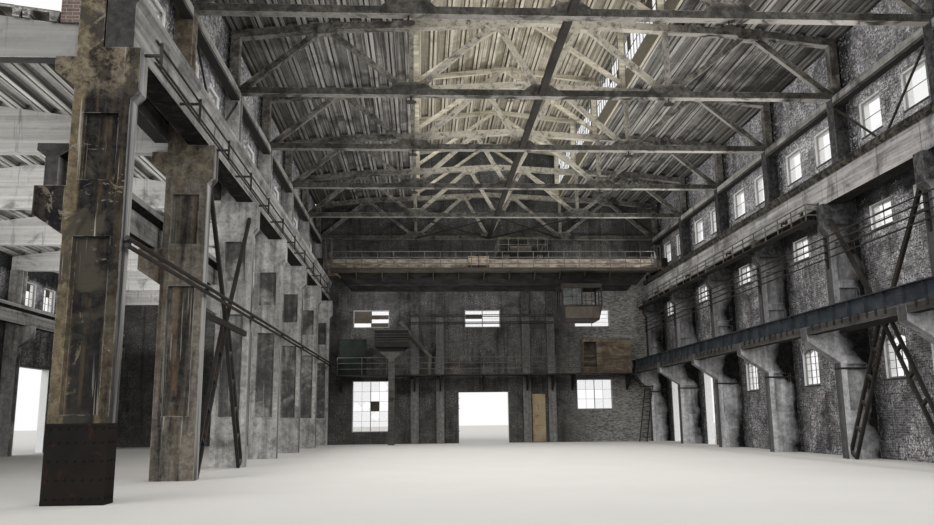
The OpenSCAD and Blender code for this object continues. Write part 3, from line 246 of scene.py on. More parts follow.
class Surface(Nodes):
    """A procedural material under construction. Its patterns are measured in metres."""

    def __init__(self, name):
        self.material = bpy.data.materials.new(name)
        self.material.use_nodes = True
        super().__init__(self.material.node_tree)
        self.shader = self.tree.nodes["Principled BSDF"]
        self.place = self.node("TexCoord")["Object"]

    def add(self, a, b):
        return self.math("ADD", a, b)

    def rest(self, share):
        return self.math("SUBTRACT", 1.0, share)

    def size(self, value):
        return self.math("ABSOLUTE", value)

    def times(self, *values):
        """Product of several masks."""
        product = values[0]
        for value in values[1:]:
            product = self.math("MULTIPLY", product, value)
        return product

    def mix(self, share, a, b):
        return self.node("Mix", {0: share, 6: a, 7: b}, data_type="RGBA")[2]

    def ramp(self, value, low, high, a, b):
        """A colour that goes from a to b while the value goes from low to high."""
        return self.mix(self.span(value, low, high), a, b)

    def coats(self, tint, *layers):
        """A tint under layers, each a mask and the colour that lies over the rest where it is 1."""
        for share, over in layers:
            tint = self.mix(share, tint, over)
        return tint

    def stretched(self, factors):
        return self.node("Mapping", {"Vector": self.place, "Scale": factors})[0]

    def noise(self, scale, detail=4.0, rough=0.55, warp=0.0, place=None):
        return self.node("TexNoise", {
            "Vector": place or self.place, "Scale": scale, "Detail": detail, "Roughness": rough,
            "Distortion": warp})[0]

    def streaks(self, axis, long, short, low, high, detail=6.0):
        """Marks drawn out along one axis: long and short are their cycles a metre."""
        place = self.stretched(tuple(long if k == axis else short for k in range(3)))
        return self.span(self.noise(1.0, detail, 0.62, 0.3, place), low, high)

    def strayed(self, value, noise, reach):
        """A value moved by a noise, so that an edge drawn from it wavers."""
        return self.add(value, self.times(self.math("SUBTRACT", noise, 0.5), reach))

    def axes(self, vector=None):
        return self.node("SeparateXYZ", {0: vector or self.place})

    def hall(self):
        """Distance from the nave's middle, place along the hall and height, in the hall's axes."""
        x, y, z = self.axes()
        return self.math("SUBTRACT", x, ORIGIN.x), self.math("SUBTRACT", y, ORIGIN.y), z

    def island(self):
        """A number of its own for each loose part of the mesh."""
        return self.node("NewGeometry")["Random Per Island"]

    def normal(self):
        return self.node("NewGeometry")["Normal"]

    def normals(self):
        return self.axes(self.normal())

    def facing(self, axis):
        """1 on faces that look along an axis, or against it."""
        return self.span(self.size(self.normals()[axis]), 0.5, 0.8)

    def underside(self):
        return self.span(self.normals()[2], -0.5, -0.8)

    def chips(self, radius, low, high, share):
        """Worn edges of the solid, broken up by noise."""
        rounded = self.node("Bevel", {"Radius": radius}, samples=4)[0]
        alike = self.node("VectorMath", {0: rounded, 1: self.normal()}, operation="DOT_PRODUCT")
        broken = self.span(self.noise(3, 5, 0.7), low, high)
        return self.times(self.span(alike["Value"], 0.99, 0.88), broken, share)

    def done(self, tint, rough, height, strength, distance=0.02, metallic=0.0, shine=0.15):
        bump = self.node("Bump", {"Strength": strength, "Distance": distance, "Height": height})
        for key, value in (("Base Color", tint), ("Roughness", rough), ("Specular IOR Level", shine),
                           ("Metallic", metallic), ("Normal", bump[0])):
            self.feed(self.shader.inputs[key], value)
        return self.material

    def cast(self, tint, grain, speck, least_rough=0.75, strength=0.85):
        """Finishes cast concrete."""
        height = self.add(self.times(grain, 0.4), self.times(speck, 0.6))
        return self.done(tint, self.span(grain, 0.2, 0.8, least_rough, 0.95), height, strength, 0.03)


# Concrete

def column_patterns(s):
    """Grain, specks and runs of the columns, and the share of their faces toward the nave, where
    the left columns get a painted light and the others a painted shade.
    """
    front = s.times(s.facing(0), s.span(s.size(s.hall()[0]), 10.55, 10.45), 0.85)
    return s.noise(19, 6, 0.7), s.noise(5.5, 8, 0.75, 0.3), s.streaks(2, 0.17, 3.4, 0.4, 0.62), front


def left_column_concrete():
    """Left columns: black and ochre plaster on the first, rust and soot on the second, and grey on
    the rest. All but the first have a painted shade in their recesses, and all a painted light on
    their faces toward the nave."""
    s = Surface("left_column_concrete")
    x, y, z = s.hall()
    across = s.size(x)
    grain, speck, runs, front = column_patterns(s)
    clouds = s.noise(0.8, 7, 0.62, 0.7)
    drips = s.streaks(2, 0.22, 1.7, 0.44, 0.6, 9.0)
    thin = s.streaks(2, 0.3, 9.0, 0.64, 0.7, 3.0)
    rust = s.streaks(2, 0.22, 4.0, 0.52, 0.64)
    peeled = s.span(s.noise(1.25, 9, 0.7, 1.3), 0.6, 0.615)
    # Painted shade: mask of the recessed panels, which are darkened.
    recess_shade = s.span(s.math("PINGPONG", y, BAY / 2), 0.21, 0.13)
    head = s.times(s.span(z, 7.7, 8.1), s.span(clouds, 0.6, 0.48), s.span(speck, 0.34, 0.5), 0.8)
    low = s.span(s.add(z, s.times(clouds, 2.5)), 5.6, 3.4)
    outer_rib = s.times(s.span(across, 10.84, 10.9), s.span(across, 11.14, 11.1),
                        s.span(clouds, 0.62, 0.54))
    ribs = s.math("MAXIMUM", s.span(across, 10.8, 10.86), s.span(across, 10.3, 10.24))
    soot = s.ramp(speck, 0.44, 0.66, "0d0d0e", "302e2b")
    ochre = s.ramp(speck, 0.36, 0.66, "3f382e", "776b55")
    plaster = s.ramp(speck, 0.36, 0.66, "3b352c", "8a7f6c")
    first = s.coats(
        s.ramp(clouds, 0.54, 0.62, soot, "3f3b33"),
        (outer_rib, ochre),
        (s.times(low, s.rest(ribs), 0.6), s.mix(runs, "2f2e2c", "121211")),
        (s.times(low, ribs, s.rest(s.times(drips, 0.8))), ochre),
        (s.times(peeled, 0.8), s.mix(runs, ochre, "7d776c")),
        (s.times(rust, s.span(clouds, 0.58, 0.46), s.span(z, 8.0, 9.0, 0.25, 0.7)), "6f5d46"),
        (head, plaster))
    second = s.coats(
        s.ramp(speck, 0.36, 0.68, "4f4a43", "857e73"),
        (s.times(drips, 0.9), soot),
        (s.times(rust, s.span(clouds, 0.6, 0.48), 0.6), "64503f"),
        # Painted shade in the recesses, along the runs.
        (s.times(recess_shade, runs, 0.8), "171615"),
        (head, plaster))
    others = s.coats(
        s.ramp(speck, 0.36, 0.66, "979592", "dad7d2"),
        (s.times(runs, 0.55), "4b4a48"),
        (s.times(s.span(clouds, 0.52, 0.66), 0.6), "3b3a39"),
        # Painted shade in the recesses.
        (s.times(recess_shade, s.span(clouds, 0.34, 0.5), 0.75), "2f2e2d"))
    tint = s.coats(
        first,
        (s.span(y, 2.2, 3.8), second),
        (s.span(y, 8.2, 9.8), others),
        # Painted light: the faces toward the nave are paler, as lit from the windows across the hall.
        (front, s.mix(runs, "aba9a7", "3b3a39")),
        (s.times(thin, 0.5), "b5b0a6"),
        (s.chips(0.03, 0.44, 0.54, s.span(y, 2.0, 12.0, 0.35, 0.8)), "b7b4ae"))
    return s.cast(tint, grain, speck)


def column_concrete(name, body, pale, nave_face_shade, dark_side_from):
    """Columns whose wall side is black, fading toward the nave, and whose upper parts are darker than
    their feet. Their seats under the crane girders and their faces toward the nave get a painted
    shade. The last argument is where the black begins, from the nave's middle."""
    s = Surface(name)
    x, _, z = s.hall()
    grain, speck, runs, front = column_patterns(s)
    collar = s.times(s.span(z, 2.7, 3.5), s.span(z, 4.7, 4.3))
    edge = s.strayed(s.add(s.size(x), s.times(collar, 0.35)), s.noise(0.8, 3, 0.5), 1.6)
    tint = s.coats(
        s.ramp(speck, 0.36, 0.66, body, pale),
        (s.times(runs, 0.5), "3a3a3b"),
        (s.span(z, 3.2, 5.4, 0.0, 0.55), "3d3c3d"),
        # Black toward the wall side, fading toward the nave.
        (s.span(edge, dark_side_from - 0.05, dark_side_from + 0.5), s.ramp(speck, 0.44, 0.66, "0f0f10", "2b2927")),
        # Painted shade on the faces toward the nave.
        (front, s.mix(runs, nave_face_shade, "232322")),
        # Painted shade under the crane girders: the seats go nearly black.
        (s.span(z, SEAT_Z - 1.4, SEAT_Z - 0.8, 0.0, 0.92),
         s.ramp(speck, 0.4, 0.62, "1d1d1d", "4c4b4b")),
        (s.chips(0.03, 0.44, 0.54, s.span(z, 5.0, 8.0, 0.7, 0.3)), "b2afab"))
    return s.cast(tint, grain, speck)


def beam_concrete(name, body, pale, soot, under, axis, soot_share, crust=None, foot=None, near=0.0):
    """Beams cast in boards along one axis: streaked sides, soot in clouds, dirt above the height crust,
    darkness below the height foot and at the hall's near end. The undersides get the colour under as
    a painted shade, paler than the sides only on the monitor frames, where it is a painted light, and
    the faces that look along the axis get a painted shade."""
    s = Surface(name)
    grain = s.noise(17, 6, 0.7)
    speck = s.noise(4.5, 8, 0.75, 0.3)
    clouds = s.noise(0.7, 8, 0.62, 0.7)
    boards = s.streaks(axis, 0.25, 7.0, 0.35, 0.65)
    height = s.axes()[2]
    layers = [
        (s.times(s.span(speck, 0.5, 0.62), 0.45), pale),
        # Painted shade on the undersides (a painted light on the monitor frames).
        (s.underside(), s.ramp(speck, 0.5, 1.1, under, body)),
        (s.times(s.span(clouds, 0.59 - soot_share * 0.3, 0.73 - soot_share * 0.15), 0.85), soot),
        (s.times(s.streaks(2, 0.4, 6.0, 0.6, 0.68, 4.0), 0.5), soot)]
    if crust:
        dirt = s.ramp(speck, 0.45, 0.6, "191817", "4a4640")
        layers.append((s.span(height, crust - 0.04, crust + 0.02), dirt))
    # Painted shade on the faces that look along the axis, and darker toward the hall's near end.
    layers += [(s.times(s.facing(axis), 0.85), soot), (s.span(s.hall()[1], 2.0, 0.6, 0.0, near), soot)]
    if foot:
        layers.append((s.span(height, foot + 0.02, foot - 0.02, 0.0, 0.85), soot))
    layers.append((s.chips(0.025, 0.44, 0.56, 0.55), pale))
    tint = s.coats(s.mix(boards, body, pale), *layers)
    relief = s.add(s.times(grain, 0.4), s.add(s.times(speck, 0.4), s.times(boards, 0.3)))
    return s.done(tint, s.span(grain, 0.2, 0.8, 0.78, 0.95), relief, 0.7, 0.025)


def sooty_truss_concrete():
    """Trusses: sooty sides, a painted shade on the undersides with a painted light on them toward the
    right, and a painted light that makes the members under the monitor cream.
    """
    s = Surface("truss_concrete")
    x, y, z = s.hall()
    soot, cream = "23221f", "d5cebd"
    grain = s.noise(17, 6, 0.7)
    speck = s.noise(5.0, 8, 0.75, 0.4)
    clouds = s.noise(0.9, 8, 0.65, 0.8)
    # Painted light under the monitor: the members there turn cream.
    middle = s.times(s.span(s.size(x), 5.4, 3.4), s.span(z, 13.1, 13.6), s.span(y, 28.0, 34.0, 1.0, 0.4))
    # Painted light on the undersides toward the right.
    lit_undersides_right = s.times(s.underside(), s.span(x, -4.0, 7.0, 0.2, 0.85), s.span(clouds, 0.6, 0.5))
    tint = s.coats(
        s.ramp(speck, 0.38, 0.66, "504d48", "9b978f"),
        (s.times(s.span(clouds, 0.46, 0.62), 0.7), soot),
        (s.times(s.span(z, 13.25, 13.15), s.facing(1), 0.55), soot),
        (s.times(middle, s.span(speck, 0.34, 0.5), 0.7), cream),
        # Painted shade on the undersides.
        (s.times(s.underside(), 0.5), "26241f"),
        (lit_undersides_right, s.mix(middle, "a5a098", cream)),
        (s.chips(0.022, 0.4, 0.54, 0.8), "b5b1a9"))
    return s.cast(tint, grain, speck, 0.78, 0.8)


def main_roof_line(s):
    """Height of the main slabs' lowest line above a place in the hall."""
    across = s.size(s.hall()[0])
    return s.add(s.span(across, MONITOR_X, FOLD_X, 15.58, 15.46),
                 s.span(across, FOLD_X, ROOF_END_X, 0.0, -0.36 * 4.1 / 3.1))


def monitor_roof_line(s):
    return s.span(s.size(s.hall()[0]), 0.0, MONITOR_X, 19.2, 18.65)


def aisle_roof_line(s):
    off = s.size(s.add(s.hall()[0], AISLE_MID_X))
    return s.math("SUBTRACT", 9.27 + 6.3 * AISLE_SLOPE, s.times(off, AISLE_SLOPE))


def slab_concrete(name, rib, pale, trough, soot, line, left_soot=0.0):
    """Ribbed slabs: pale ribs, a painted shade in the troughs above the roof line and on the ribs'
    sides, each slab its own tone, and felt on the side to the sky. left_soot is how much sootier the
    nave's left half is."""
    s = Surface(name)
    x, _, z = s.hall()
    across = s.size(x)
    grain = s.noise(16, 5, 0.6)
    speck = s.noise(6.0, 7, 0.72)
    clouds = s.noise(0.35, 6, 0.6, 0.8)
    depth = s.math("SUBTRACT", z, line(s))
    # Painted shade in the troughs, by depth above the roof line.
    trough_shade = s.times(s.span(depth, 0.02, 0.13), s.span(s.noise(1.3, 6, 0.65), 0.3, 0.52, 0.15, 0.55))
    # Painted shade on the ribs' sides.
    rib_side_shade = s.times(s.span(depth, 0.015, 0.035), s.span(depth, 0.12, 0.09), 0.85)
    by_walls = s.times(s.span(across, 8.6, 11.0, 0.0, 0.65), s.span(across, 11.7, 11.6))
    tint = s.coats(
        s.mix(s.island(), rib, pale),
        (s.times(s.span(speck, 0.52, 0.64), 0.5), pale),
        (trough_shade, trough),
        (rib_side_shade, soot),
        (s.times(s.streaks(1, 0.3, 12.0, 0.44, 0.6, 5.0), 0.55), trough),
        (s.times(s.streaks(1, 0.12, 22.0, 0.56, 0.62, 2.0), 0.6), pale),
        (s.times(s.span(clouds, 0.52, 0.66), 0.75), soot),
        (s.span(x, -2.0, -6.0, 0.0, left_soot), soot),
        (by_walls, soot),
        (s.span(s.normals()[2], 0.4, 0.6), s.ramp(s.noise(24, 4, 0.7), 0.35, 0.7, "3c3b3a", trough)))
    return s.done(tint, s.span(grain, 0.2, 0.8, 0.8, 0.96), s.add(grain, speck), 0.5)


# Brick, felt, paint and glass

BRICK_L = 0.25
BRICK_H = 0.065
BRICK_STEP = 0.26
COURSE = 0.077


def brickwork(name, face, low, high, mortar, soot, bloom, bloom_share, red, column_dark_reach, relief):
    """Bricks laid along whichever way the wall runs. Soot lies in clouds, the brick is darker within a
    given reach of the columns, and soot with a painted shade lies under the crane girders. The
    reveals, which the wall's face axis tells, are near white, a painted light. Outer faces and the
    walls' ends are plain weathered brick."""
    s = Surface(name)
    x, y, z = s.axes()
    hall_x, hall_y, _ = s.hall()
    along = s.math("GREATER_THAN", s.size(s.normals()[0]), 0.5)
    u = s.add(s.times(x, s.rest(along)), s.times(y, along))
    laid = s.node("TexBrick", {
        "Vector": s.node("CombineXYZ", {0: u, 1: z, 2: 0.0})[0],
        "Color1": low, "Color2": high, "Mortar": mortar, "Scale": 1.0, "Mortar Size": 0.01,
        "Mortar Smooth": 0.2, "Bias": -0.1, "Brick Width": BRICK_STEP, "Row Height": COURSE})
    courses = s.noise(1.0, 5, 0.7, 0.0, s.stretched((2.6, 2.6, 13.0)))
    dashes = s.noise(1.0, 6, 0.8, 0.0, s.stretched((4.5, 4.5, 15.0)))
    clouds = s.noise(0.5, 8, 0.65, 0.7)
    cloudy = s.span(clouds, 0.5, 0.68)
    speckle = s.noise(13.0, 6, 0.75)
    runs = s.streaks(2, 0.25, 4.0, 0.5, 0.64)
    grain = s.noise(30, 4, 0.7)

    warm = s.times(s.span(s.noise(0.55, 5, 0.6), 0.52, 0.66), s.span(z, 7.6, 6.6),
                   s.span(speckle, 0.45, 0.6), 0.75)
    worn = s.times(s.span(s.noise(1.1, 6, 0.65, 0.5), 0.42, 0.58), s.span(speckle, 0.49, 0.58),
                   bloom_share)
    reach = s.strayed(s.math("PINGPONG", hall_y, BAY / 2), clouds, 1.8)
    # Darker close to the columns.
    by_columns = s.times(s.span(reach, column_dark_reach + 0.75, column_dark_reach - 0.25), along, 0.92)
    spots = s.times(s.span(s.noise(9.0, 5, 0.8), 0.54, 0.6), s.span(z, 8.0, 11.0, 0.12, 0.42), along)
    level = s.strayed(z, clouds, 1.2)
    # Soot and a painted shade on the wall under the crane girders.
    soot_and_shade_under_girders = s.times(s.span(level, SEAT_Z - 0.55, SEAT_Z - 0.25), s.span(level, 9.9, 9.6), along, 0.9)
    lit = s.times(s.span(hall_x, 4.5, 7.0), s.rest(along), s.span(dashes, 0.42, 0.6, 0.1, 1.0),
                  s.span(z, 11.2, 10.4), 0.75)

    outward = s.normals()[face]
    if face == 0:
        outward = s.times(outward, s.math("SIGN", hall_x))
        within = s.times(s.span(hall_y, 0.85, 0.95), s.span(hall_y, 35.15, 35.05))
    else:
        within = s.span(s.size(hall_x), 9.6, 9.5)
    reveal = s.rest(s.facing(face))
    outside = s.math("MAXIMUM", s.span(outward, 0.4, 0.6), s.times(reveal, s.rest(within)))
    weathered = s.coats(
        s.ramp(speckle, 0.4, 0.62, "5a4841", "7d6a61"),
        (laid["Fac"], "8b8882"),
        (s.times(runs, 0.4), "3b3533"),
        (s.times(cloudy, 0.5), "473e3a"))
    tint = s.coats(
        laid["Color"],
        (warm, red),
        (worn, bloom),
        (s.span(courses, 0.44, 0.34, 0.0, relief), soot),
        (s.span(courses, 0.58, 0.68, 0.0, relief * 0.8), bloom),
        (s.times(runs, 0.45), soot),
        (s.times(cloudy, 0.75), soot),
        (by_columns, soot),
        (s.times(s.span(z, 9.0, 5.0, 0.0, 0.28), along), soot),
        (spots, bloom),
        (soot_and_shade_under_girders, soot),
        (lit, bloom),
        (outside, weathered),
        # Painted light: the reveals are near white, as lit by the daylight outside.
        (s.times(reveal, within), s.mix(s.span(speckle, 0.52, 0.66, 0.0, 0.25), "fafaf9", "8d8b89")))
    height = s.add(s.times(laid["Fac"], -0.6), s.add(s.times(speckle, 0.5), s.times(grain, 0.2)))
    return s.done(tint, s.span(grain, 0.2, 0.8, 0.82, 0.97), height, 0.8)


def roofing_felt():
    """Bitumen felt: grey grit, darker patches and water marks down the slopes."""
    s = Surface("roofing_felt")
    grit = s.noise(60, 4, 0.8)
    patches = s.noise(0.5, 7, 0.65, 0.6)
    tint = s.coats(
        s.mix(s.island(), "3a3938", "4b4a48"),
        (s.span(grit, 0.4, 0.65), "5f5e5b"),
        (s.times(s.span(patches, 0.5, 0.66), 0.6), "2a2928"),
        (s.times(s.streaks(0, 0.25, 2.2, 0.46, 0.66), 0.35), "6a6760"))
    return s.done(tint, s.span(grit, 0.2, 0.8, 0.8, 0.95), s.add(grit, patches), 0.4, 0.006)


def steel(name, paint, bare, rust, rust_share, rough, dust=None):
    """Old painted steel: faded paint, rust in blotches, dust on top."""
    s = Surface(name)
    fade = s.noise(1.3, 6, 0.6, 0.5)
    blotch = s.noise(3.2, 9, 0.72, 0.8)
    rusty = s.span(blotch, 0.66 - rust_share * 0.22, 0.72 - rust_share * 0.2)
    tint = s.coats(s.ramp(fade, 0.3, 0.7, paint, bare), (rusty, rust))
    if dust:
        on_top = s.span(s.normals()[2], 0.55, 0.9)
        tint = s.mix(s.times(on_top, s.span(fade, 0.3, 0.55, 0.35, 0.9)), tint, dust)
    height = s.add(s.times(rusty, 0.5), s.times(s.noise(40, 4, 0.6), 0.25))
    return s.done(tint, s.span(rusty, 0.0, 1.0, rough, 0.9), height, 0.45, 0.006, metallic=0.25)


def booth_sheet():
    """Sheet cladding of the gallery: brown on the booth, and nearly black on the screen at the left,
    a painted shade.
    """
    s = Surface("booth_sheet")
    blotch = s.noise(2.6, 8, 0.7, 0.8)
    blotchy = s.span(blotch, 0.35, 0.62)
    streaks = s.streaks(0, 0.4, 4.0, 0.4, 0.64)
    brown = s.coats(s.mix(blotchy, "5d5045", "8d8070"), (s.times(streaks, 0.6), "352c25"))
    # Painted shade: left of the nave's middle the sheet is nearly black.
    tint = s.mix(s.span(s.hall()[0], -0.1, 0.1), s.mix(blotchy, "161a18", "262b28"), brown)
    return s.done(tint, s.span(blotch, 0.3, 0.7, 0.6, 0.85), s.add(blotch, streaks), 0.4, 0.006,
                  metallic=0.15)


def dusty_glass(name, low, high, cover):
    """Glass that its dust covers by a share."""
    s = Surface(name)
    film = s.noise(2.6, 6, 0.6, 0.6)
    s.shader.inputs["Alpha"].default_value = cover
    return s.done(s.ramp(film, 0.35, 0.7, low, high), s.span(film, 0.3, 0.7, 0.18, 0.55),
                  s.noise(9, 3, 0.5), 0.15, 0.004, shine=0.5)


def banded(name, lower, upper, faded, rust, level, soft):
    """Two tones that meet at a height, the upper one faded in blotches: two coats of paint on the
    lookout, and on the crane bridge a dark lower tone that is a painted shadow below the walkway.
    """
    s = Surface(name)
    blotch = s.noise(2.2, 8, 0.68, 0.9, s.stretched((0.6, 1.0, 2.0)))
    above = s.coats(
        s.ramp(blotch, 0.35, 0.6, upper, faded),
        (s.span(blotch, 0.57, 0.64), rust))
    below = s.ramp(blotch, 0.4, 0.7, lower, "2f2d2b")
    tint = s.mix(s.span(s.axes()[2], level - soft, level + soft), below, above)
    return s.done(tint, s.span(blotch, 0.3, 0.7, 0.55, 0.9), s.add(blotch, s.noise(30, 4, 0.6)),
                  0.35, 0.008)


def finish(names, material):
    """Gives CAD nodes a material."""
    for name in names.split():
        nodes[name].data.materials.clear()
        nodes[name].data.materials.append(material)
    return material


finish("left_columns aisle_columns", left_column_concrete())
# The fourth colour is a painted shade for the columns' faces toward the nave.
finish("right_columns", column_concrete("right_column_concrete", "a9a8a9", "f2f1f2", "3d3c3c", 10.45))
finish("end_columns", column_concrete("end_column_concrete", "62605c", "918f8a", "5c5b59", 12.0))
# The left girders' undersides are nearly black, a painted shade.
finish("left_crane_girders aisle_crane_girders",
       beam_concrete("left_girder_concrete", "5f5e5c", "989692", "1a1918", "050505", 1, 0.3))
light_girder = finish("right_crane_girders", beam_concrete(
    "right_girder_concrete", "605e5c", "9b9896", "2b2a29", "1d1c1b", 1, 0.3, crust=9.72))
grey_concrete = finish("eaves_beams", beam_concrete(
    "weathered_concrete", "777571", "aeaba6", "262524", "2a2928", 1, 0.35, foot=12.55))
finish("aisle_roof_beams", beam_concrete(
    "aisle_beam_concrete", "c9c7c3", "f2f0ec", "4a4947", "8b8986", 0, 0.1, near=0.75))
finish("monitor_frames monitor_sills",
       beam_concrete("monitor_concrete", "a39b88", "e2dac8", "5b564b", "b8b09c", 0, 0.1))
finish("roof_trusses", sooty_truss_concrete())
finish("roof_slabs", slab_concrete(
    "roof_slab_concrete", "7b7772", "bbb7b0", "262421", "2a2825", main_roof_line, 0.3))
finish("monitor_roof_slabs", slab_concrete(
    "monitor_slab_concrete", "a19a8a", "d3cbba", "625c4e", "5f5849", monitor_roof_line))
finish("aisle_roof_slabs", slab_concrete(
    "aisle_slab_concrete", "8f8d88", "c4c1bb", "3c3a37", "4a4845", aisle_roof_line))
side_brick = finish("nave_wall_piers nave_wall_panels aisle_wall_piers aisle_wall_panels", brickwork(
    "sooty_brick", 0, "545253", "878586", "9b999a", "141415", "faf9fa", 1.0, "7a4f46", 0.55, 0.75))
end_brick = finish("end_wall_piers end_wall_panels", brickwork(
    "black_brick", 1, "444443", "53524f", "5a5956", "191919", "b9b7b2", 0.35, "5e4a42", 0.0, 0.2))
dark_steel = finish(
    "crane_rails truss_struts service_pipes lamps gallery_deck gallery_ladder column_bracing",
    steel("dark_steel", "232221", "3b3835", "4c3a2c", 0.45, 0.6, "6b675f"))
runway_steel = finish(
    "lower_runway", steel("runway_steel", "24282c", "484d52", "4c4540", 0.4, 0.55, "8b877f"))
light_steel = finish("gallery_railing crane_railing chute_pipe",
                     steel("rail_grey_steel", "45433f", "6b6862", "4a382a", 0.45, 0.6, "7d786e"))
jacket_steel = finish(
    "column_jacket", steel("rusty_jacket_steel", "110f0d", "1d1815", "33201a", 0.4, 0.75))
finish("window_frames", steel("window_paint", "83817e", "a9a7a4", "5a4a40", 0.3, 0.7))
finish("control_booth", booth_sheet())
finish("lookout_platform", banded("lookout_paint", "5d5b57", "1d1c1b", "2b2927", "3b3027", 5.45, 0.03))
# The black lower tone of the bridge girders is a painted shadow below the walkway.
bridge_paint_and_shadow = finish(
    "bridge_girders", banded("bridge_paint_and_shadow", "121212", "aaa090", "5e584f", "6b543e", 10.1, 0.04))
finish("crane_walkway", steel("walkway_paint", "2f2c28", "45413a", "3a2d22", 0.5, 0.7))
crane_paint = finish("end_carriages crane_cab trolley_frame hoist_drum",
                     steel("crane_paint", "1d1c1b", "322f2c", "43352a", 0.4, 0.6, "5d574e"))
wheel_metal = finish("crane_wheels trolley_wheels",
                     steel("worn_wheel_steel", "4d4a46", "77726b", "4a3629", 0.4, 0.42))
bar_paint = steel("bar_paint", "3a3938", "5c5a57", "4a3a30", 0.45, 0.7)
dark_board = steel("dark_board", "4b473f", "6b655b", "4c3c2e", 0.3, 0.85)
gate_paint = steel("gate_paint", "8f7d66", "b3a284", "6b523a", 0.3, 0.6)
cabinet_paint = steel("cabinet_paint", "85796a", "a3978a", "5f4c3b", 0.5, 0.6)
cab_panel_paint = steel("cab_panel_paint", "37332d", "504a42", "453529", 0.4, 0.65)
felt_paper = roofing_felt()
glass = dusty_glass("dusty_glass", "f6f8f7", "d6d8d3", 0.1)
cab_glass = dusty_glass("cab_glass", "4a4e4d", "2f3231", 0.5)


# Windows

WIN_W = 1.3
SIDE_WINS = [i * BAY + m for i in range(BAYS) for m in (1.7, 4.3)]
DOORS = (9, 11)
ROWS = {"low": (2.62, 1.43, 0.16), "mid": (7.65, 0.85, 0.0), "top": (10.95, 1.25, 0.0)}
PANES = {"low": (3, 5), "mid": (2, 3), "top": (1, 2)}
AISLE_WINS = (1.25, 3.45)
UPPER_SILL = 7.15
MONITOR_GLASS_X = 4.7
MONITOR_SILL = 16.4
MONITOR_WIN_H = 2.0
END_WIN_W = 2.25
END_WIN_X = (-7.0, 0.0, 7.0)
END_PIER_X = (-4.28, -2.7, 2.7, 4.28)
GLASS_IN = WALL_T * 0.22 + 0.03
FRAME = 0.05
BAR = 0.013
BAR_DEPTH = 0.03
PANE_T = 0.006


def side_openings():
    """Middle, row, sill, height and rise of each window in a side wall."""
    for k, y in enumerate(SIDE_WINS):
        for row, (sill, height, rise) in ROWS.items():
            if row != "low" or k not in DOORS:
                yield y, row, sill, height, rise


def arch_radius(width, rise):
    return (width * width / 4 + rise * rise) / (2 * rise)


def arch_at(u, width, height, rise):
    """Height of an opening's head at u, measured from its left edge."""
    if not rise:
        return height
    radius = arch_radius(width, rise)
    return height - radius + math.sqrt(radius * radius - (u - width / 2) ** 2)


def shards(u0, v0, u1, v1, dice):
    """What is left of a broken pane: jagged pieces held in its corners."""
    w, h = u1 - u0, v1 - v0
    pieces = []
    for (u, v), du, dv in (((u0, v0), 1, 1), ((u1, v0), -1, 1), ((u1, v1), -1, -1), ((u0, v1), 1, -1)):
        if dice.random() < 0.62:
            a, b = w * dice.uniform(0.25, 0.85), h * dice.uniform(0.25, 0.85)
            inner = (u + du * a * dice.uniform(0.2, 0.5), v + dv * b * dice.uniform(0.2, 0.5))
            pieces.append([(u, v), (u + du * a, v), inner, (u, v + dv * b)])
    return pieces


def window(bars, panes, boards, place, left, sill, width, height, cols, rows, dice,
           rise=0.0, lost=0.16, broken=0.14, boarded=0.06, mullion=None):
    """Bars and panes of one window, set in the frame that the solid model gives it. lost, broken
    and boarded are shares of the panes."""
    def at(u, v, depth):
        return place(left + u, sill + v, depth)

    us = [FRAME + (width - 2 * FRAME) * k / cols for k in range(cols + 1)]
    vs = [FRAME + (height - 2 * FRAME) * k / rows for k in range(rows + 1)]
    for k, u in enumerate(us[1:-1], 1):
        half = BAR * (1.6 if k == mullion else 0.5)
        top = arch_at(u, width, height, rise) - FRAME / 2
        bars.plate(rectangle(u - half, FRAME / 2, u + half, top), at, -BAR_DEPTH / 2, BAR_DEPTH / 2)
    cross = BAR_DEPTH / 2 - 0.002
    for v in vs[1:-1]:
        bars.plate(rectangle(FRAME / 2, v - BAR / 2, width - FRAME / 2, v + BAR / 2), at, -cross, cross)
    for i in range(cols):
        for j in range(rows):
            corners = us[i] + BAR / 2, vs[j] + BAR / 2, us[i + 1] - BAR / 2, vs[j + 1] - BAR / 2
            target, outlines = panes, [rectangle(*corners)]
            draw = dice.random()
            if draw < lost:
                outlines = []
            elif draw < lost + broken:
                outlines = shards(*corners, dice)
            elif draw < lost + broken + boarded:
                target = boards
            for outline in outlines:
                clipped = [(u, min(v, arch_at(u, width, height, rise) - FRAME)) for u, v in outline]
                target.plate(clipped, at, -PANE_T / 2, PANE_T / 2)


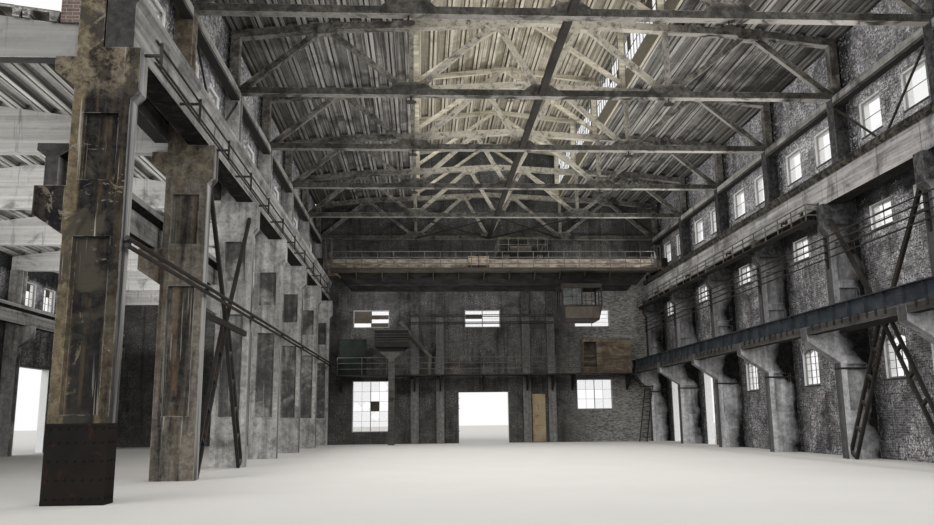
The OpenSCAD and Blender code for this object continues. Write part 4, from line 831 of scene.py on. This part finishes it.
def windows():
    dice = random.Random(11)
    bars, panes, boards = Shape(), Shape(), Shape()

    def one(*args, **kwargs):
        window(bars, panes, boards, *args, dice, **kwargs)

    right = on_side(OUTER_X + GLASS_IN)
    left = on_side(-OUTER_X - GLASS_IN)
    aisle = on_side(-AISLE_WALL_X - GLASS_IN)
    end = on_end(END_Y + GLASS_IN)
    for y, row, sill, height, rise in side_openings():
        for wall in (right, left) if row == "top" else (right,):
            one(wall, y - WIN_W / 2, sill, WIN_W, height, *PANES[row], rise=rise, lost=0.65, boarded=0.0)
    for i in range(BAYS):
        for y in AISLE_WINS:
            one(aisle, i * BAY + y, UPPER_SILL, WIN_W, 1.2, 3, 3)
        near = NEAR_Y if i == 0 else i * BAY + 0.01
        far = FAR_Y if i == BAYS - 1 else (i + 1) * BAY - 0.01
        for side in (-1, 1):
            one(on_side(side * MONITOR_GLASS_X), near, MONITOR_SILL, far - near, MONITOR_WIN_H, 12, 3,
                lost=0.2, broken=0.12)
    lower = ((END_WIN_X[0], 0.73, 3.12, 4, 5), (END_WIN_X[2], 1.98, 1.87, 4, 3))
    for x, sill, height, cols, rows in lower + tuple((x, UPPER_SILL, 1.1, 2, 4) for x in END_WIN_X):
        one(end, END_MID_X + x - END_WIN_W / 2, sill, END_WIN_W, height, cols, rows,
            mullion=cols // 2, lost=0.2, boarded=0.12 if x <= 0 else 0.0)
    bars.piece("window_bars", bar_paint, "window_steel")
    boards.piece("window_boards", dark_board, "window_steel")
    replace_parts(panes.piece("window_panes", glass, "glass"), "window_glass")


# Masonry

def arch(shape, mid, crown, width, rise):
    """Bricks on edge round the head of a lower window, on the wall's inner face."""
    radius = arch_radius(width, rise)
    half = math.asin(width / 2 / radius) * 1.12
    count = 17
    step = half / count * 0.9
    for k in range(count):
        a = -half + 2 * half * (k + 0.5) / count
        outline = [(mid + r * math.sin(t), crown - radius + r * math.cos(t))
                   for t, r in rectangle(a - step, radius, a + step, radius + BRICK_L)]
        shape.plate(outline, on_side(OUTER_X), -0.012 - 0.006 * (k % 3), 0.02)


def brick_at(row, col):
    """Place along the wall and height of a brick. The pattern is laid from the part's own zero."""
    return col * BRICK_STEP + (BRICK_STEP / 2 if row % 2 else 0.0), row * COURSE


def masonry():
    """Arches, sills, and bricks that stand a little out of the inner faces of the walls."""
    dice = random.Random(5)
    bricks, end_bricks, sills = Shape(), Shape(), Shape()
    for y in SIDE_WINS:
        sill, height, rise = ROWS["low"]
        arch(bricks, y, sill + height, WIN_W, rise)
    half_sill = 0.68
    for y, _, sill, _, _ in side_openings():
        sills.box((OUTER_X - 0.02, y - half_sill, sill - 0.07), (OUTER_X + 0.16, y + half_sill, sill))
    gap, into = 0.005, 0.02
    tries, clear, top = 2600, 0.75, 14.4
    for _ in range(tries):
        row, col = dice.randrange(8, 190), dice.randrange(0, 138)
        y, z = brick_at(row, col)
        y -= 0.008
        beside_window = any(mid - clear - BRICK_STEP < y < mid + clear for mid in SIDE_WINS)
        if beside_window or near_column(y, 0.6) or z > top:
            continue
        out = dice.uniform(0.003, 0.011)
        bricks.box((OUTER_X - out, y + gap, z + gap),
                   (OUTER_X + into, y + gap + BRICK_L, z + gap + BRICK_H))
    tries, clear, windows_top, half_wall, pier_clear = 1500, 1.75, 9, 9.9, 0.55
    for _ in range(tries):
        row, col = dice.randrange(8, 160), dice.randrange(-40, 40)
        x, z = brick_at(row, col)
        local = x - END_MID_X
        if any(abs(local - mid) < clear for mid in END_WIN_X) and z < windows_top:
            continue
        if abs(x) > half_wall or any(abs(local - mid) < pier_clear for mid in END_PIER_X):
            continue
        out = dice.uniform(0.003, 0.01)
        end_bricks.box((x + gap, END_Y - out, z + gap),
                       (x + gap + BRICK_L, END_Y + into, z + gap + BRICK_H))
    bricks.piece("relief_bricks", side_brick, "brick")
    end_bricks.piece("end_relief_bricks", end_brick, "dark_brick")
    sills.piece("window_sills", grey_concrete, "grey_concrete", bevel=0.008)


# Roofing

def roof_felt():
    """Lapped strips of felt over the slabs."""
    felt = Shape()
    lap, thick, lift, strip = 0.08, 0.005, 0.001, 0.95
    main = [(4.77, 15.8), (7.76, 15.685), (11.62, 15.238)]
    monitor = [(0.0, 19.424), (5.24, 18.808)]
    ridge = (-AISLE_MID_X, 10.344)
    slopes = [[(side * x, z) for x, z in line[k:k + 2]]
              for line in (main, monitor) for k in range(len(line) - 1) for side in (-1, 1)]
    slopes += [[ridge, (-24.21, 9.427)], [ridge, (-11.49, 9.549)]]
    for start, end in slopes:
        start, end = Vector(start), Vector(end)
        reach = abs(end.x - start.x)
        count = round(reach / strip)
        for k in range(count):
            over, rise = (lap / reach, thick + lift) if k < count - 1 else (0.0, 0.0)
            high = start.lerp(end, k / count) + Vector((0, lift))
            low = start.lerp(end, (k + 1) / count + over) + Vector((0, lift + rise))
            top = Vector((0, thick))
            felt.plate([high, low, low + top, high + top], on_end(0.0), NEAR_Y, FAR_Y)
    felt.piece("roof_felt", felt_paper, "slab_concrete")


# Columns and girders

def column_ties():
    """Steel straps with clamp bolts round the right columns."""
    straps = Shape()
    t, h = 0.01, 0.07
    x0, x1 = INNER_X - t, OUTER_X
    for i in range(BAYS + 1):
        y = i * BAY
        y0, y1 = y - COLUMN_W / 2 - t, y + COLUMN_W / 2 + t
        for z in (2.98, 8.0):
            straps.box((x0, y0, z), (x1, y0 + t, z + h))
            straps.box((x0, y1 - t, z), (x1, y1, z + h))
            straps.box((x0, y0 + t, z), (x0 + t, y1 - t, z + h))
            for dy in (-0.14, 0.14):
                straps.head((x0, y + dy, z + h / 2), INWARD, 0.022, 0.02)
    straps.piece("column_straps", dark_steel, "dark_steel")


def jacket_bolts():
    """Bolts of the steel jacket, and the bands at its foot and top."""
    bolts = Shape()
    plate_y, band_t, margin = -0.237, 0.012, 0.08
    bolt = 0.024, 0.018
    for z in (0.12, 0.45, 0.78, 1.11, 1.36):
        for k in range(7):
            x = -OUTER_X + margin + k * (OUTER_X - INNER_X - 2 * margin) / 6
            bolts.head((x, plate_y, z), (0, -1, 0), *bolt)
        for dy in (-0.15, 0.0, 0.15):
            bolts.head((-INNER_X + 0.012, dy, z), (1, 0, 0), *bolt)
    for z in (0.03, 1.4):
        bolts.box((-OUTER_X - 0.01, plate_y - band_t, z), (-INNER_X + 0.01, plate_y, z + 0.05))
    bolts.piece("jacket_bolts", jacket_steel, "rusty_jacket")


def runway_details():
    """Rivets, anchor clips and splice bolts of the lower runway."""
    rivets, clips = Shape(), Shape()
    mid, bottom, top = 9.05, 4.42, 4.96
    edge = mid - 0.15
    rivet_step, clip_step = 0.15, 0.5
    for k in range(int(LENGTH / rivet_step)):
        for z in (bottom + 0.075, top - 0.075):
            rivets.head((mid - 0.022, 0.05 + k * rivet_step, z), INWARD, 0.016, 0.012)
    for i in range(BAYS):
        for j in range(4):
            for z in (4.55, 4.64, 4.73, 4.82):
                rivets.head((mid - 0.032, i * BAY + 0.08 + j * 0.11, z), INWARD, 0.018, 0.014)
    for k in range(int(LENGTH / clip_step)):
        y = 0.25 + k * clip_step
        if near_column(y, 0.3):
            continue
        clips.box((edge - 0.03, y, bottom - 0.14), (edge + 0.012, y + 0.09, bottom + 0.045))
        clips.head((edge - 0.03, y + 0.045, bottom - 0.06), INWARD, 0.025, 0.03)
        clips.head((edge + 0.05, y + 0.045, bottom + 0.03), UPWARD, 0.02, 0.03)
    rivets.piece("runway_rivets", runway_steel, "runway_steel")
    clips.piece("runway_clips", dark_steel, "dark_steel")


def rail_clips():
    """Clips on both sides of the crane rails."""
    clips = Shape()
    step, top = 0.6, GIRDER_TOP + 0.022
    off, half, long = 0.09, 0.05, 0.08
    for side in (-1, 1):
        for k in range(int(LENGTH / step)):
            y = 0.2 + k * step
            for face in (-1, 1):
                x = side * RAIL_X + face * off
                clips.box((x - half, y, GIRDER_TOP), (x + half, y + long, top))
                clips.head((x, y + long / 2, top), UPWARD, 0.018, 0.03)
    clips.piece("rail_clips", dark_steel, "dark_steel", bevel=0.004)


def girder_dirt():
    """Crumbs of concrete and dirt along the inner edge of the right crane girder."""
    dice = random.Random(23)
    crumbs = Shape()
    edge, y = 9.94, 0.2
    while y < LENGTH - 0.2:
        size = dice.uniform(0.02, 0.07)
        x = edge + dice.random() * 0.05
        low = rectangle(x, y, x + size, y + size)
        high = [(a + dice.uniform(0.1, 0.4) * size, b + dice.uniform(-0.2, 0.2) * size) for a, b in low]
        top = GIRDER_TOP + size * dice.uniform(0.5, 0.9)
        crumbs.add([(a, b, GIRDER_TOP) for a, b in low] + [(a, b, top) for a, b in high], BOX_FACES)
        y += size + dice.random() ** 2 * 0.3
    crumbs.piece("girder_dirt", light_girder, "dark_concrete")


def hanger_cleats():
    """Bolted cleats that join the hangers of the right walkway to the crane girder's web."""
    cleats = Shape()
    arm_end, arm_low, arm_h, web = 9.945, 8.82, 0.06, 10.005
    plate, half_arm, half_plate = 0.012, 0.042, 0.10
    for y in (12.39, 13.63, 15.0, 21.0, 27.0, 33.0):
        for z in (arm_low - plate, arm_low + arm_h):
            cleats.box((arm_end - 0.1, y - half_arm, z), (web, y + half_arm, z + plate))
        cleats.box((web - plate, y - half_plate, arm_low - plate), (web, y + half_plate, arm_low + 0.16))
        for dy in (-0.075, 0.075):
            for z in (0.02, 0.13):
                cleats.head((web - plate, y + dy, arm_low + z), INWARD, 0.016, 0.014)
    cleats.piece("hanger_cleats", dark_steel, "dark_steel")


def lookout_rails():
    """Thin rails across the slots of the lookout box."""
    rails = Shape()
    x0, x1, y, radius = -7.05, -5.09, 33.35, 0.013
    for z in (6.04, 6.17, 6.33, 6.47, 6.71):
        rails.tube((x0, y, z), (x1, y, z), radius)
    rails.piece("lookout_rails", light_steel, "dark_steel")


def gate_leaf():
    """Sheet leaf that stands open against the end wall, right of the gate."""
    leaf = Shape()
    x0, x1, z0, z1, rail, rail_t = 2.6, 3.42, 0.03, 2.95, 0.06, 0.02
    back, front = END_Y - 0.02, END_Y - 0.055
    leaf.box((x0, front, z0), (x1, back, z1))
    for x in (x0, x1 - rail):
        leaf.box((x, front - rail_t, z0), (x + rail, front, z1))
    for z in (z0, 1.0, 2.0, z1 - rail):
        leaf.box((x0 + rail, front - rail_t, z), (x1 - rail, front, z + rail))
    leaf.piece("gate_leaf", gate_paint, "booth_sheet", bevel=0.004)


# Crane

def bridge_details():
    """Rivets along the edges of the bridge girders."""
    rivets = Shape()
    first, step, count = -8.4, 0.13, 130
    for out in (-1, 1):
        for x in (first + k * step for k in range(count)):
            for z in (BRIDGE_TOP - 1.44, BRIDGE_TOP - 0.06):
                rivets.head((x, CRANE_Y + out * BRIDGE_HALF, z), (0, out, 0), 0.015, 0.012)
    rivets.piece("bridge_rivets", bridge_paint_and_shadow, "crane_steel", "bridge")


def trolley_railing():
    """Railing round the trolley's deck."""
    rails = Shape()
    half_x, half_y, top, radius = 1.46, 1.34, 0.8, 0.018
    x0, x1, y0, y1 = TROLLEY_X - half_x, TROLLEY_X + half_x, CRANE_Y - half_y, CRANE_Y + half_y

    def side(start, end, posts):
        """Posts at shares of one side of the deck, and rails along it."""
        start, end = Vector((*start, TROLLEY_DECK)), Vector((*end, TROLLEY_DECK))
        for foot in (start.lerp(end, share) for share in posts):
            rails.tube(foot, foot + Vector((0, 0, top)), radius)
        for z in (0.4, top):
            rails.tube(start + Vector((0, 0, z)), end + Vector((0, 0, z)), radius)

    for y in (y0, y1):
        side((x0, y), (x1, y), [k / 5 for k in range(6)])
    for x in (x0, x1):
        side((x, y0), (x, y1), (0.25, 0.5, 0.75))
    rails.piece("trolley_railing", light_steel, "crane_steel", "trolley")


def cabinet_details():
    """Doors, hinges and handles of the switch cabinets on the crane's walkway."""
    doors, fittings = Shape(), Shape()
    y = CRANE_Y - BRIDGE_HALF - 0.44
    for x in (-1.53, -0.9):
        doors.box((x - 0.006, y - 0.02, 10.36), (x + 0.586, y + 0.44, 10.9))
        doors.box((x + 0.03, y - 0.032, 10.4), (x + 0.55, y - 0.02, 10.86))
        fittings.box((x + 0.49, y - 0.05, 10.58), (x + 0.515, y - 0.03, 10.68))
        hinge = x + 0.035, y - 0.038
        for z in (10.45, 10.77):
            fittings.tube((*hinge, z), (*hinge, z + 0.06), 0.01)
    doors.piece("cabinet_doors", cabinet_paint, "crane_fascia", "bridge", bevel=0.01)
    fittings.piece("cabinet_fittings", dark_steel, "crane_steel", "bridge")


def cab_details():
    """Panes, bars and the lower panel of the cab. Only the left half of its front keeps its panes."""
    bars, panes, panel = Shape(), Shape(), Shape()
    x0, x1, z0 = 3.86, 6.26, 7.04
    y0 = CRANE_Y - BRIDGE_HALF - 0.9
    y1 = y0 + 1.8
    sill, head, post, half_bar, rim = z0 + 0.9, z0 + 1.9, 0.09, 0.012, 0.02
    width, middle = (x1 - x0 - 3 * post) / 2, (sill + head) / 2
    for left in (x0 + post, x0 + 2 * post + width):
        for y in (y0 + 0.02, y1 - 0.03):
            upright = left + width / 2
            bars.box((upright - half_bar, y, sill), (upright + half_bar, y + 0.02, head))
            bars.box((left, y + 0.002, middle - half_bar), (left + width, y + 0.018, middle + half_bar))
    half_w, half_h = width / 2, (head - sill) / 2
    for u in (x0 + post, x0 + post + half_w):
        for v in (sill, middle):
            panes.box((u + rim, y0 + 0.027, v + rim), (u + half_w - rim, y0 + 0.032, v + half_h - rim))
    panel.box((x0 + 0.2, y0 - 0.012, z0 + 0.12), (x1 - 0.2, y0 + 0.002, z0 + 0.78))
    bars.piece("cab_bars", crane_paint, "crane_steel", "bridge")
    panes.piece("cab_panes", cab_glass, "glass", "bridge")
    panel.piece("cab_panel", cab_panel_paint, "crane_steel", "bridge", bevel=0.006)


def hoist_details():
    """Wire rope on the drum, motor fins, bolts of the gearbox and the drum's bearings."""
    rope, fins = Shape(), Shape()
    across, up = Vector((0, 1, 0)), Vector((0, 0, 1))
    drum = Vector((TROLLEY_X, CRANE_Y, DRUM_Z))
    half_drum, radius, rope_r = 0.66, 0.22 + 0.011, 0.011
    turns, steps = 44, 20
    count = turns * steps
    rope.path([drum + Vector((2 * half_drum * k / count - half_drum, radius * math.cos(t),
                              radius * math.sin(t)))
               for k, t in ((k, 2 * math.pi * k / steps) for k in range(count + 1))], rope_r, 5)
    fin_t, fin_r, fin_step, sides = 0.012, 0.19, 0.058, 20
    for k in range(12):
        middle = Vector((TROLLEY_X - 0.34 + k * fin_step, CRANE_Y + 0.7, TROLLEY_DECK + 0.23))
        near, far = (ring(middle + shift, across, up, fin_r, sides)
                     for shift in (Vector(), Vector((fin_t, 0, 0))))
        fins.add(near + far, ends(sides) + band(0, sides, sides))
    for dy in (-0.25, -0.1, 0.05, 0.18):
        fins.head((TROLLEY_X + 1.2, CRANE_Y + dy, TROLLEY_DECK + 0.38), (1, 0, 0), 0.02, 0.02)
    bearing = 0.09
    for x in (-0.83, 0.83):
        fins.tube(drum + Vector((x - bearing, 0, 0)), drum + Vector((x + bearing, 0, 0)), bearing, 14)
    rope.piece("wire_rope", wheel_metal, "wheel_steel", "trolley", smooth=True)
    fins.piece("hoist_fittings", crane_paint, "crane_steel", "trolley")


# Stage

def camera():
    """The photograph's camera, in the part's own frame."""
    yaw, pitch, roll = 0.0553, 0.1862, -0.011
    data = bpy.data.cameras.new("camera")
    data.sensor_width, data.lens, data.clip_end = 36.0, 32.057, 500.0
    obj = put("camera", data)
    obj.matrix_world = (Matrix.Translation((2.024, -34.2565, 1.45)) @ Matrix.Rotation(-yaw, 4, "Z")
                        @ Matrix.Rotation(math.pi / 2 + pitch, 4, "X") @ Matrix.Rotation(roll, 4, "Z"))
    bpy.context.scene.camera = obj


def lamp(name, kind, turn, power):
    data = bpy.data.lights.new(name, kind)
    data.energy = power
    obj = put(name, data)
    obj.rotation_euler = [math.radians(angle) for angle in turn]
    return obj


def lights():
    """Soft area lights in the hall, and wide suns from outside."""
    for name, place, turn, size, power in (
            ("nave_up", (0, 18, 7.0), (180, 0, 0), (16, 34), 2600),
            ("nave_down", (0, 18, 12.2), (0, 0, 0), (14, 34), 1900),
            ("from_right", (9.4, 18, 11.4), (0, 70, 0), (1.5, 34), 900),
            ("from_left", (-9.4, 18, 6.5), (0, -90, 0), (3.0, 34), 1000),
            ("aisle", (-17, 18, 5.5), (180, 0, 0), (9, 34), 1700),
            ("monitor_up", (0, 25, 15.75), (180, 0, 0), (7.5, 21), 240)):
        obj = lamp(name, "AREA", turn, power)
        obj.data.shape = "RECTANGLE"
        obj.data.size, obj.data.size_y = size
        obj.location = ORIGIN + Vector(place)
        obj.visible_camera = obj.visible_glossy = False
    for name, turn, power, spread in (
            ("near_end", (78, 0, -6), 0.7, 50),
            ("right_side", (72, 0, 42), 0.9, 40),
            ("left_side", (72, 0, -42), 1.1, 40)):
        lamp(name, "SUN", turn, power).data.angle = math.radians(spread)


def world():
    """White where it is seen, and a little dimmer where it lights the object."""
    ambient = 0.8
    made = bpy.data.worlds.new("studio")
    bpy.context.scene.world = made
    made.use_nodes = True
    s = Nodes(made.node_tree)
    back = s.tree.nodes["Background"]
    s.feed(back.inputs["Strength"], s.span(s.background_rays(), 0.0, 1.0, ambient, 1.0))
    s.feed(back.inputs["Color"], "ffffff")


def floor():
    """A pale floor that throws back less light than it shows."""
    size = 160.0
    mesh = bpy.data.meshes.new("floor")
    mesh.from_pydata([(x, y, 0) for x, y in rectangle(-size, -size, size, size)], [], [(0, 1, 2, 3)])
    s = Surface("pale_floor")
    pale = s.mix(s.noise(0.5, 3), "d6d4d0", "cecbc6")
    mesh.materials.append(s.done(s.mix(s.background_rays(), "6f6d6a", pale), 0.9, s.noise(3, 4), 0.1))
    obj = put("floor", mesh)


for make in (windows, masonry, roof_felt, column_ties, jacket_bolts, runway_details, rail_clips,
             girder_dirt, hanger_cleats, lookout_rails, gate_leaf, bridge_details, trolley_railing,
             cabinet_details, cab_details, hoist_details, camera, lights, world, floor):
    make()

bpy.context.scene.view_settings.view_transform = "Standard"
